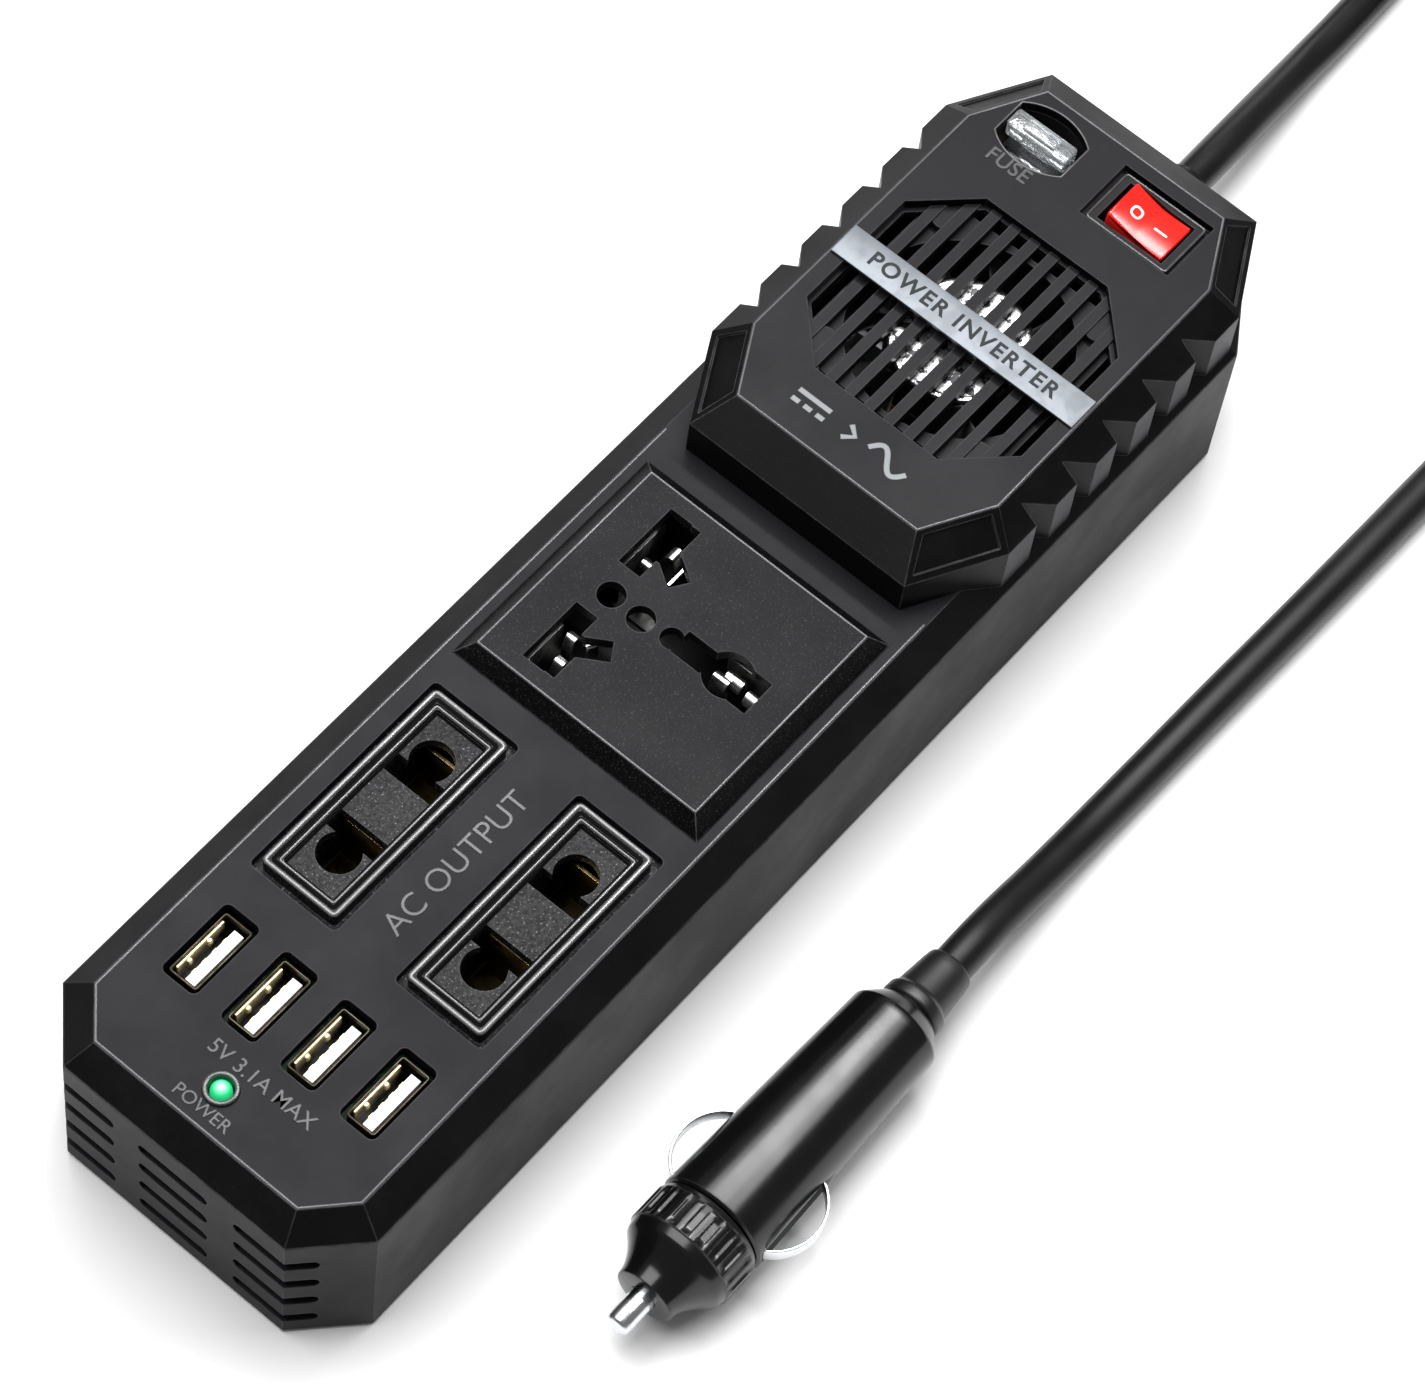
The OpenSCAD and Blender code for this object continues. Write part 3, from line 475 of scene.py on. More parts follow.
class Graph:
    """A hand on a node tree: adds nodes and joins them."""

    def __init__(self, tree: bpy.types.NodeTree) -> None:
        """Takes the tree to work on."""
        self.tree = tree

    def feed(self, node: bpy.types.Node, inputs: dict) -> None:
        """Joins sockets to a node's inputs or gives them plain values, by name or number."""
        for key, value in inputs.items():
            if isinstance(value, bpy.types.NodeSocket):
                self.tree.links.new(value, node.inputs[key])
            else:
                node.inputs[key].default_value = value

    def add(self, kind: str, inputs: dict | None = None, **settings: object) -> bpy.types.Node:
        """Adds a node.

        Args:
            kind: the node type without its ShaderNode prefix.
            inputs: values or sockets for the node's inputs, by name or number.
            **settings: the node's own settings.

        Returns:
            The node.
        """
        node = self.tree.nodes.new(kind if kind.startswith("Node") else "ShaderNode" + kind)
        for key, value in settings.items():
            setattr(node, key, value)
        self.feed(node, inputs or {})
        return node

    def effect(self, tree: bpy.types.NodeTree, **inputs: float) -> bpy.types.bpy_prop_collection:
        """Outputs of a shared node group."""
        return self.add("Group", inputs, node_tree=tree).outputs

    def where(self) -> bpy.types.NodeSocket:
        """Object coordinates, which are the frame's axes in metres."""
        return self.add("TexCoord").outputs["Object"]

    def maths(self, operation: str, a: object, b: object = 0.0, clamp: bool = False) -> bpy.types.NodeSocket:
        """Result of one Math node."""
        return self.add("Math", {0: a, 1: b}, operation=operation, use_clamp=clamp).outputs[0]

    def times(self, a: object, b: object, clamp: bool = False) -> bpy.types.NodeSocket:
        """Product of two values."""
        return self.maths("MULTIPLY", a, b, clamp)

    def rest(self, share: object) -> bpy.types.NodeSocket:
        """What a share leaves of one."""
        return self.maths("SUBTRACT", 1.0, share)

    def ramp(self, value: object, low: float, high: float, out_low: float = 0.0,
             out_high: float = 1.0) -> bpy.types.NodeSocket:
        """Value moved from one range to another, held at both ends."""
        node = self.add("MapRange", {"Value": value, "From Min": low, "From Max": high, "To Min": out_low,
                                     "To Max": out_high}, interpolation_type="SMOOTHSTEP")
        return node.outputs["Result"]

    def blend(self, factor: object, a: object, b: object) -> bpy.types.NodeSocket:
        """Two colours mixed by a factor."""
        return self.add("Mix", {0: factor, 6: a, 7: b}, data_type="RGBA").outputs[2]

    def noise(self, scale: object, detail: float = 3.0, rough: float = 0.55,
              where: bpy.types.NodeSocket | None = None) -> bpy.types.NodeSocket:
        """Noise from 0 to 1, on Object coordinates unless a place is given."""
        place = self.where() if where is None else where
        return self.add("TexNoise", {"Vector": place, "Scale": scale, "Detail": detail,
                                     "Roughness": rough}).outputs[0]

    def bump(self, strength: float, distance: float, height: object, soften: float = 0.0,
             invert: bool = False) -> bpy.types.NodeSocket:
        """Normal bent by a height.

        Args:
            strength: how strongly it bends.
            distance: the relief's depth in millimetres.
            height: the height, from 0 to 1.
            soften: radius of the rounded look of edges in millimetres, or 0 for none.
            invert: whether high places become low.

        Returns:
            The normal.
        """
        node = self.add("Bump", {"Strength": strength, "Distance": distance * MM, "Height": height},
                        invert=invert)
        if soften:
            soft = self.add("Bevel", {"Radius": soften * MM}, samples=BEVEL_SAMPLES)
            self.feed(node, {"Normal": soft.outputs[0]})
        return node.outputs[0]


def group(name: str, inputs: dict[str, float],
          outputs: Sequence[str]) -> tuple[Graph, bpy.types.bpy_prop_collection, bpy.types.Node]:
    """Starts a shader node group with plain number sockets.

    Args:
        name: the group's name.
        inputs: names and starting values of its inputs.
        outputs: names of its outputs.

    Returns:
        A graph on the group, the sockets it is given and its output node.
    """
    tree = bpy.data.node_groups.new(name, "ShaderNodeTree")
    for key, value in inputs.items():
        socket = tree.interface.new_socket(name=key, in_out="INPUT", socket_type="NodeSocketFloat")
        socket.default_value = value
    for key in outputs:
        tree.interface.new_socket(name=key, in_out="OUTPUT", socket_type="NodeSocketFloat")
    graph = Graph(tree)
    return graph, graph.add("NodeGroupInput").outputs, graph.add("NodeGroupOutput")


class Effects:
    """The surface effects that several finishes share, each a node group built once."""

    def __init__(self) -> None:
        """Builds the groups."""
        self.grain = self._grain()
        self.edge_wear_and_highlight = self._edge_wear_and_highlight()
        self.dust = self._dust()
        self.brushing = self._brushing()
        self.handling = self._handling()
        self.slopes = self._slopes()

    @staticmethod
    def _grain() -> bpy.types.NodeTree:
        """Spark-eroded grain: fine noise, round pits, mottle, and specks where glints are painted. Size is
        the grain's width in millimetres.
        """
        graph, given, out = group("moulded_grain", {"Size": 0.3, "Pits": 0.5},
                                  ["Height", "Sparkle", "Mottle"])
        scale = graph.maths("DIVIDE", 1 / MM, given["Size"])
        fine = graph.noise(scale, 2.0)
        pits = graph.add("TexVoronoi", {"Vector": graph.where(), "Scale": graph.times(scale, 0.7)})
        hollow = graph.times(pits.outputs["Distance"], given["Pits"])
        graph.feed(out, {"Height": graph.maths("ADD", fine, hollow),
                         "Sparkle": graph.ramp(graph.noise(graph.times(scale, 0.9), 1.0), 0.63, 0.72),
                         "Mottle": graph.ramp(graph.noise(graph.times(scale, 0.6), 2.0, 0.7), 0.4, 0.6)})
        return graph.tree

    @staticmethod
    def _edge_wear_and_highlight() -> bpy.types.NodeTree:
        """Mask of edges that get a painted highlight and rubbed wear: where a rounded normal leaves the flat
        one, broken up by noise.
        """
        graph, given, out = group("edge_wear_and_highlight", {"Width": 0.4, "Breakup": 0.5}, ["Mask"])
        soft = graph.add("Bevel", {"Radius": graph.times(given["Width"], MM)}, samples=BEVEL_SAMPLES)
        flat = graph.add("NewGeometry").outputs["True Normal"]
        lean = graph.add("VectorMath", {0: soft.outputs[0], 1: flat}, operation="DOT_PRODUCT")
        edge = graph.ramp(lean.outputs["Value"], 0.996, 0.93)
        patch = graph.ramp(graph.noise(420.0, 4.0), 0.35, 0.65)
        kept = graph.rest(graph.times(given["Breakup"], graph.rest(patch)))
        graph.feed(out, {"Mask": graph.times(edge, kept, clamp=True)})
        return graph.tree

    @staticmethod
    def _dust() -> bpy.types.NodeTree:
        """Mask of fine dust, thicker on faces that look up."""
        graph, given, out = group("settled_dust", {"Amount": 0.1}, ["Mask"])
        up = graph.add("SeparateXYZ", {0: graph.add("NewGeometry").outputs["Normal"]}).outputs["Z"]
        cloud = graph.ramp(graph.noise(70.0, 5.0, 0.7), 0.4, 0.75)
        specks = graph.ramp(graph.noise(2600.0, 1.0), 0.66, 0.74)
        spread = graph.maths("ADD", graph.times(cloud, 0.5), specks)
        lying = graph.times(spread, graph.ramp(up, 0.1, 0.9, 0.25, 1.0))
        graph.feed(out, {"Mask": graph.times(lying, given["Amount"], clamp=True)})
        return graph.tree

    @staticmethod
    def _brushing() -> bpy.types.NodeTree:
        """Fine parallel lines along Y, as on brushed film or rolled sheet. Pitch is in millimetres."""
        graph, given, out = group("brushed_lines", {"Pitch": 0.12}, ["Height", "Tone"])
        squeezed = graph.add("VectorMath", {0: graph.where(), 1: (1.0, 0.02, 1.0)}, operation="MULTIPLY")
        lines = graph.noise(graph.maths("DIVIDE", 1 / MM, given["Pitch"]), 2.0, 0.6, squeezed.outputs[0])
        graph.feed(out, {"Height": lines, "Tone": graph.ramp(lines, 0.3, 0.7)})
        return graph.tree

    @staticmethod
    def _handling() -> bpy.types.NodeTree:
        """Slow changes of gloss from handling, from -1 to 1. Size is in millimetres."""
        graph, given, out = group("handled_gloss", {"Size": 18.0}, ["Shift"])
        slow = graph.noise(graph.maths("DIVIDE", 1 / MM, given["Size"]), 3.0, 0.6)
        graph.feed(out, {"Shift": graph.ramp(slow, 0.3, 0.7, -1.0, 1.0)})
        return graph.tree

    @staticmethod
    def _slopes() -> bpy.types.NodeTree:
        """Painted shade and sheen by facing: share of tone kept, and two masks of upright faces.

        Share is 1 on level and upright faces and Kept on the slopes between them, painting shade on the
        slopes.
        Square marks the upright faces that look along Y, where a sheen is painted, and Oblique marks the
        others, where shade is painted.
        """
        graph, given, out = group("painted_slope_shade_and_sheen", {"Kept": 0.3}, ["Share", "Square", "Oblique"])
        way = graph.add("SeparateXYZ", {0: graph.add("TexCoord").outputs["Normal"]}).outputs
        upright = graph.ramp(graph.maths("ABSOLUTE", way["Z"]), 0.25, 0.05)
        square = graph.ramp(graph.maths("ABSOLUTE", way["Y"]), 0.92, 0.97)
        slope = graph.times(graph.ramp(way["Z"], 0.08, 0.3), graph.ramp(way["Z"], 0.985, 0.9))
        graph.feed(out, {"Square": graph.times(upright, square),
                         "Oblique": graph.times(upright, graph.rest(square)),
                         "Share": graph.rest(graph.times(slope, graph.rest(given["Kept"])))})
        return graph.tree


# -----------------------------------------------------------------------------------------------------------
# Finishes
# -----------------------------------------------------------------------------------------------------------


def rgba(colour: Colour, share: float = 1.0) -> tuple[float, float, float, float]:
    """A colour scaled by a share, with full alpha."""
    return colour[0] * share, colour[1] * share, colour[2] * share, 1.0


class Finish:
    """A kind of surface."""

    def material(self, name: str, effects: Effects) -> bpy.types.Material:
        """Builds the material.

        Args:
            name: its name.
            effects: the shared groups.

        Returns:
            The material.
        """
        material = bpy.data.materials.new(name)
        material.use_nodes = True
        graph = Graph(material.node_tree)
        graph.feed(material.node_tree.nodes["Principled BSDF"], self.look(graph, effects))
        return material

    def look(self, graph: Graph, effects: Effects) -> dict[str, object]:
        """Values and sockets for the inputs of the Principled surface, by name."""
        raise NotImplementedError


@dataclass(frozen=True)
class Paper(Finish):
    """Plain matt studio paper."""

    colour: Colour

    def look(self, graph: Graph, effects: Effects | None) -> dict[str, object]:
        """An even matt tone."""
        return {"Base Color": rgba(self.colour), "Roughness": 0.85, "Specular IOR Level": 0.15}


@dataclass(frozen=True)
class Moulding(Finish):
    """Moulded plastic or rubber: grain, dust, uneven gloss, and painted light: edge highlights that also
    stand for rubbed edges, glints, and shade and sheen by facing. Sizes in millimetres.
    """

    colour: Colour
    gloss: float = 0.45
    grain: float = 0.28
    depth: float = 0.25
    pits: float = 0.5
    sparkle: float = 0.0
    # Width and lightening of the edges: a painted highlight that also stands for rubbed wear.
    edge: float = 0.35
    edge_light: float = 1.5
    dust: float = 0.05
    soften: float = 0.25
    specular: float = 0.5
    # Painted shade: share of tone kept on slopes and on oblique upright faces. Painted sheen: gain on
    # upright faces along Y.
    slope_shade_share: float = 1.0
    oblique_shade_share: float = 1.0
    square_sheen_gain: float = 1.0
    mottle: float = 0.0

    def look(self, graph: Graph, effects: Effects) -> dict[str, object]:
        """A tone with painted shade on slopes and oblique walls and painted sheen on walls along Y, darkened
        in the grain, then lightened by painted edge highlights that also stand for wear, painted glints and
        dust.
        """
        grain = graph.effect(effects.grain, Size=self.grain, Pits=self.pits)
        wear_and_highlight = graph.effect(effects.edge_wear_and_highlight, Width=self.edge)
        dust = graph.effect(effects.dust, Amount=self.dust)
        handled = graph.effect(effects.handling)
        slopes = graph.effect(effects.slopes, Kept=self.slope_shade_share)
        light = tuple(min(1.0, c * (1 + self.edge_light) + 0.008 * self.edge_light) for c in self.colour)
        # Painted shade on slopes; below, painted shade on oblique upright faces and painted sheen on upright
        # faces along Y.
        tone = graph.blend(slopes["Share"], rgba(self.colour, 0.0), rgba(self.colour))
        for mask, colour in (
            (graph.times(slopes["Oblique"], 1.0 - self.oblique_shade_share), rgba(self.colour, 0.0)),
            (slopes["Square"], rgba(self.colour, self.square_sheen_gain)),
            (graph.times(grain["Mottle"], self.mottle), rgba(self.colour, 0.05)),
            # Painted edge highlight, which also stands for rubbed wear.
            (wear_and_highlight["Mask"], rgba(light)),
            # Painted glints on the grain.
            (graph.times(grain["Sparkle"], self.sparkle), rgba(GLINT_TONE)),
            (dust["Mask"], rgba(DUST_TONE)),
        ):
            tone = graph.blend(mask, tone, colour)
        rough = graph.maths("ADD", graph.times(handled["Shift"], 0.05), self.gloss)
        rough = graph.maths("ADD", rough, graph.times(dust["Mask"], 0.6), clamp=True)
        return {"Base Color": tone, "Roughness": rough, "Specular IOR Level": self.specular,
                "Normal": graph.bump(self.depth, 0.05, grain["Height"], self.soften)}


@dataclass(frozen=True)
class Metal(Finish):
    """Plated, rolled or brushed metal with tarnish, bright edges that are partly painted highlight, and
    painted shade below a height. Sizes and heights in millimetres.
    """

    colour: Colour
    gloss: float = 0.25
    brushed: float = 0.0
    pitch: float = 0.12
    tarnish: float = 0.25
    edge: float = 0.2
    soften: float = 0.12
    shade: tuple[float, float] = (0.0, 0.0)
    print_share: float = 0.0

    def look(self, graph: Graph, effects: Effects) -> dict[str, object]:
        """A tarnished tone with bright edges, some print, and painted shade that fades out between two
        heights.
        """
        lines = graph.effect(effects.brushing, Pitch=self.pitch)
        handled = graph.effect(effects.handling, Size=4.0)
        wear_and_highlight = graph.effect(effects.edge_wear_and_highlight, Width=self.edge)
        dull = graph.ramp(handled["Shift"], -0.6, 1.0, 0.0, self.tarnish)
        tone = graph.blend(dull, rgba(self.colour), rgba(self.colour, 0.55))
        tone = graph.blend(graph.times(lines["Tone"], 0.5 * self.brushed), tone, rgba(self.colour, 0.7))
        # Painted edge highlight, which also stands for rubbed plating.
        tone = graph.blend(wear_and_highlight["Mask"], tone, rgba(tuple(min(1.0, c * 1.15 + 0.05) for c in self.colour)))
        if self.print_share > 0:
            cover = graph.ramp(graph.noise(620.0, 3.0, 0.7), 0.5, 0.56, 0.0, self.print_share)
            tone = graph.blend(cover, tone, rgba(INK_TONE))
        # Painted shade: the tone is nearly black below the lower height and full above the upper one.
        low, high = self.shade
        if high > low:
            height = graph.add("SeparateXYZ", {0: graph.where()}).outputs["Z"]
            tone = graph.blend(graph.ramp(height, low * MM, high * MM), rgba(self.colour, 0.03), tone)
        rough = graph.maths("ADD", graph.times(dull, 0.5), self.gloss, clamp=True)
        return {"Base Color": tone, "Roughness": rough, "Metallic": 1.0,
                "Normal": graph.bump(0.12 + 0.4 * self.brushed, 0.02, lines["Height"], self.soften)}


@dataclass(frozen=True)
class ClearPlastic(Finish):
    """Clear moulded plastic or glass, with faint flow marks in its gloss."""

    colour: Colour = (0.93, 0.96, 0.98)
    gloss: float = 0.06
    index: float = 1.49
    clear: float = 1.0

    def look(self, graph: Graph, effects: Effects) -> dict[str, object]:
        """A clear body whose gloss and normal follow the flow marks."""
        marks = graph.effect(effects.handling, Size=2.5)["Shift"]
        return {"Base Color": rgba(self.colour), "Transmission Weight": self.clear, "IOR": self.index,
                "Roughness": graph.maths("ADD", graph.times(marks, 0.04), self.gloss, clamp=True),
                "Normal": graph.bump(0.25, 0.1, marks)}


@dataclass(frozen=True)
class Glow(Finish):
    """A lit lens: coloured plastic with a brighter heart, whose centre and reach are in millimetres."""

    colour: Colour
    heart: Colour
    centre: tuple[float, float, float]
    reach: float
    strength: float = 1.0

    def look(self, graph: Graph, effects: Effects) -> dict[str, object]:
        """A glowing tone that pales towards the heart."""
        heart = tuple(c * MM for c in self.centre)
        away = graph.add("VectorMath", {0: graph.where(), 1: heart}, operation="DISTANCE").outputs["Value"]
        near = graph.ramp(away, 0.2 * self.reach * MM, self.reach * MM, 1.0, 0.0)
        speck = graph.ramp(graph.effect(effects.handling, Size=0.8)["Shift"], -1.0, 1.0, 0.85, 1.0)
        tone = graph.blend(graph.times(near, speck), rgba(self.colour), rgba(self.heart))
        return {"Base Color": tone, "Emission Color": tone, "Emission Strength": self.strength,
                "Roughness": 0.18}


@dataclass(frozen=True)
class Laminate(Finish):
    """A circuit board: solder mask over copper tracks, with pads."""

    colour: Colour
    track: Colour

    def look(self, graph: Graph, effects: Effects) -> dict[str, object]:
        """Tracks along the borders of square cells, under a mask of uneven tone."""
        cells = graph.add("TexVoronoi", {"Vector": graph.where(), "Scale": 260.0}, distance="MANHATTAN",
                          feature="DISTANCE_TO_EDGE")
        tracks = graph.ramp(cells.outputs["Distance"], 0.05, 0.08)
        uneven = graph.ramp(graph.effect(effects.handling)["Shift"], -1.0, 1.0, 0.0, 0.3)
        tone = graph.blend(uneven, graph.blend(tracks, rgba(self.track), rgba(self.colour)),
                           rgba(self.colour, 0.6))
        return {"Base Color": tone, "Roughness": 0.32, "Normal": graph.bump(0.3, 0.05, tracks, invert=True)}


@dataclass(frozen=True)
class Winding(Finish):
    """Enamelled wire laid side by side round an upright axis, or tape over it. Pitch in millimetres."""

    colour: Colour
    pitch: float = 0.6

    def look(self, graph: Graph, effects: Effects) -> dict[str, object]:
        """Level bands, one for each turn."""
        turns = graph.add("TexWave", {"Vector": graph.where(), "Scale": 50 / self.pitch, "Distortion": 0.4,
                                      "Detail": 1.0}, bands_direction="Z").outputs["Fac"]
        uneven = graph.ramp(graph.effect(effects.handling)["Shift"], -1.0, 1.0, 0.0, 0.25)
        tone = graph.blend(uneven, graph.blend(turns, rgba(self.colour, 0.45), rgba(self.colour)),
                           rgba(self.colour, 0.5))
        return {"Base Color": tone, "Roughness": 0.3, "Normal": graph.bump(0.5, 0.1, turns)}


SLOT_FINISHES = {
    "case_plastic": Moulding((0.0086, 0.0079, 0.0097), gloss=0.5, grain=0.35, depth=0.25, edge_light=4.0,
                             dust=0.01, specular=0.12, slope_shade_share=0.12),
    "dark_plastic": Moulding((0.0073, 0.0068, 0.0081), gloss=0.44, grain=0.35, depth=0.2, edge_light=4.0,
                             dust=0.01, specular=0.13, slope_shade_share=0.12),
    "socket_plastic": Moulding((0.02, 0.019, 0.021), gloss=0.45, grain=0.36, depth=0.9, pits=1.0,
                               sparkle=0.6, dust=0.01, edge_light=2.0, specular=0.14, slope_shade_share=0.2,
                               mottle=0.9),
    "silver_film": Metal((0.165, 0.177, 0.193), gloss=0.5, brushed=0.12, tarnish=0.12),
    "screw_steel": Metal((0.55, 0.56, 0.58), gloss=0.3, brushed=0.2),
    "foot_rubber": Moulding((0.012, 0.012, 0.012), gloss=0.8, grain=0.2, depth=0.4, edge_light=0.4,
                            dust=0.15),
    "shell_steel": Metal((0.075, 0.062, 0.038), gloss=0.36, tarnish=0.6, shade=(33.0, 35.6)),
    "tongue_plastic": Moulding((0.86, 0.85, 0.83), gloss=0.4, depth=0.04, edge_light=0.0, dust=0.02),
    "contact_brass": Metal((0.83, 0.62, 0.28), gloss=0.25, tarnish=0.4, shade=(27.0, 33.0)),
    "contact_nickel": Metal((0.74, 0.75, 0.77), gloss=0.16, tarnish=0.3),
    "board_green": Laminate((0.02, 0.11, 0.05), (0.06, 0.26, 0.12)),
    "led_green": Glow((0.012, 0.38, 0.13), (0.5, 1.0, 0.7), centre=(-107.7, 1.0, 36.2), reach=1.4),
    "lead_red": Moulding((0.4, 0.02, 0.015), gloss=0.35, depth=0.1, edge_light=0.3),
    "rocker_red": Moulding((0.8, 0.014, 0.009), gloss=0.16, grain=0.5, depth=0.04, edge_light=0.35,
                           dust=0.01, soften=0.3),
    "fuse_clear": ClearPlastic(gloss=0.1, clear=0.9),
    "winding_copper": Winding((0.6, 0.25, 0.08)),
    "core_ferrite": Moulding((0.05, 0.05, 0.055), gloss=0.65, grain=0.4, depth=0.5),
    "tape_yellow": Winding((0.75, 0.5, 0.06), pitch=5.0),
    "sink_aluminium": Metal((0.72, 0.73, 0.75), gloss=0.4, brushed=0.6),
    "capacitor_blue": Moulding((0.02, 0.04, 0.16), gloss=0.25, depth=0.05, edge_light=0.5),
    "cord_pvc": Moulding((0.005, 0.005, 0.0056), gloss=0.32, grain=0.8, depth=0.12, pits=0.2,
                         edge_light=0.4, dust=0.01, specular=0.28),
}
EXTRA_FINISHES = {
    "printed_white": Moulding((0.85, 0.85, 0.83), gloss=0.4, depth=0.05, edge_light=0.0, dust=0.01),
    "printed_silver": Moulding((0.17, 0.178, 0.19), gloss=0.4, depth=0.05, edge_light=0.2, dust=0.01),
    "printed_grey": Moulding((0.022, 0.025, 0.027), gloss=0.6, depth=0.05, edge_light=0.1, dust=0.01,
                             specular=0.2),
    # A lighter copy of the case plastic, which paints the light caught by the raised letters.
    "caption_lit_plastic": Moulding((0.031, 0.03, 0.033), gloss=0.36, depth=0.1, edge_light=1.4, dust=0.01),
    # A plastic far lighter than the case, which paints the highlight along the beads.
    "bead_highlight_plastic": Moulding((0.075, 0.074, 0.08), gloss=0.22, grain=0.5, depth=0.05, edge_light=0.2,
                             dust=0.0),
    "bezel_gloss": Moulding((0.03, 0.03, 0.031), gloss=0.16, grain=0.5, depth=0.03, edge_light=2.0,
                            dust=0.0, specular=0.7),
    # A lighter copy of the bezel black, which paints the highlight along the frame ridges.
    "bezel_highlight_line": Moulding((0.15, 0.15, 0.155), gloss=0.2, grain=0.5, depth=0.03, edge_light=0.2, dust=0.0,
                           specular=0.7, slope_shade_share=0.5),
    "universal_plastic": Moulding((0.0077, 0.0072, 0.0084), gloss=0.48, grain=0.24, depth=0.45, pits=0.8,
                                  sparkle=0.12, dust=0.006, edge_light=5.0, specular=0.1, slope_shade_share=0.12),
    "plug_plastic": Moulding((0.0026, 0.0026, 0.0029), gloss=0.21, grain=0.6, depth=0.04, edge_light=1.5,
                             dust=0.002, specular=0.42),
    "plug_boot": Moulding((0.005, 0.005, 0.0056), gloss=0.42, grain=0.5, depth=0.15, edge_light=0.8,
                          dust=0.01),
    "hub_foil": Metal((0.85, 0.85, 0.86), gloss=0.2, brushed=0.3, tarnish=0.2, print_share=0.95),
    # A copy of the dark plastic with painted shade on slopes and oblique walls and a painted sheen on walls
    # along Y.
    "housing_plastic_painted_light": Moulding((0.0073, 0.0068, 0.0081), gloss=0.44, grain=0.35, depth=0.2,
                                edge_light=4.0, dust=0.01, specular=0.12, slope_shade_share=0.1,
                                oblique_shade_share=0.15, square_sheen_gain=4.0),
    # Flat black that paints the shadow in grooves and recesses.
    "groove_shadow_black": Moulding((0.0015, 0.0015, 0.0016), gloss=0.7, depth=0.05, edge_light=0.0, dust=0.0,
                             specular=0.05),
    "spring_gold": Metal((0.95, 0.78, 0.45), gloss=0.35, tarnish=0.35, shade=(31.5, 34.0)),
    "gold_strip": Metal((0.85, 0.66, 0.3), gloss=0.35, shade=(24.0, 30.0)),
    "leaf_nickel": Metal((0.86, 0.86, 0.85), gloss=0.24, tarnish=0.2, shade=(29.0, 33.5)),
    "shaded_nickel": Metal((0.8, 0.8, 0.78), gloss=0.28, tarnish=0.5, shade=(27.0, 34.0)),
}
OWN_FINISHES = {"usb_contacts": "gold_strip", "universal_contacts": "shaded_nickel",
                "universal_socket": "universal_plastic", "fan_housing": "housing_plastic_painted_light"}


class Finishes:
    """Every material of the object, by record slot or by its own name."""

    def __init__(self) -> None:
        """Builds the shared groups and all materials."""
        effects = Effects()
        plans = {**SLOT_FINISHES, **EXTRA_FINISHES}
        self.made = {name: plan.material(name, effects) for name, plan in plans.items()}

    def __getitem__(self, name: str) -> bpy.types.Material:
        """The material of that name."""
        return self.made[name]

    def dress_frame(self, frame: Frame) -> None:
        """Gives every CAD node the finish of its record slot.

        Args:
            frame: the loaded frame.
        """
        for part in frame["record"]["subparts"]:
            mesh = frame["nodes"][part["node"]].data
            mesh.materials.clear()
            mesh.materials.append(self.made[OWN_FINISHES.get(part["node"], part["material_slot"])])


@dataclass
class Maker:
    """Makes pieces of the object and dresses them in the shared finishes. Sizes are in millimetres."""

    finishes: Finishes

    def hand_over(self, piece: bpy.types.Object, finish: str, slot: str, body: str = MAIN_BODY,
                  stands_for: Sequence[str] = ()) -> bpy.types.Object:
        """Dresses a new piece and ties it to the frame.

        Args:
            piece: the new piece.
            finish: its finish, by name.
            slot: the record's material slot; not used.
            body: the CAD body it moves with.
            stands_for: CAD nodes it is shown in place of.

        Returns:
            The piece.
        """
        piece.data.materials.clear()
        piece.data.materials.append(self.finishes[finish])
        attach(piece, body)
        if stands_for:
            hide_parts(*stands_for)
        LOG.info("%s rides on %s, stands for %s", piece.name, body, ", ".join(stands_for) or "nothing")
        return piece


# -----------------------------------------------------------------------------------------------------------
# Camera, light and floor
# -----------------------------------------------------------------------------------------------------------


@dataclass(frozen=True)
class Softbox:
    """A soft rectangular lamp: its place, what it looks at and its size in metres, and its watts."""

    name: str
    place: tuple[float, float, float]
    aim: tuple[float, float, float]
    size: tuple[float, float]
    power: float


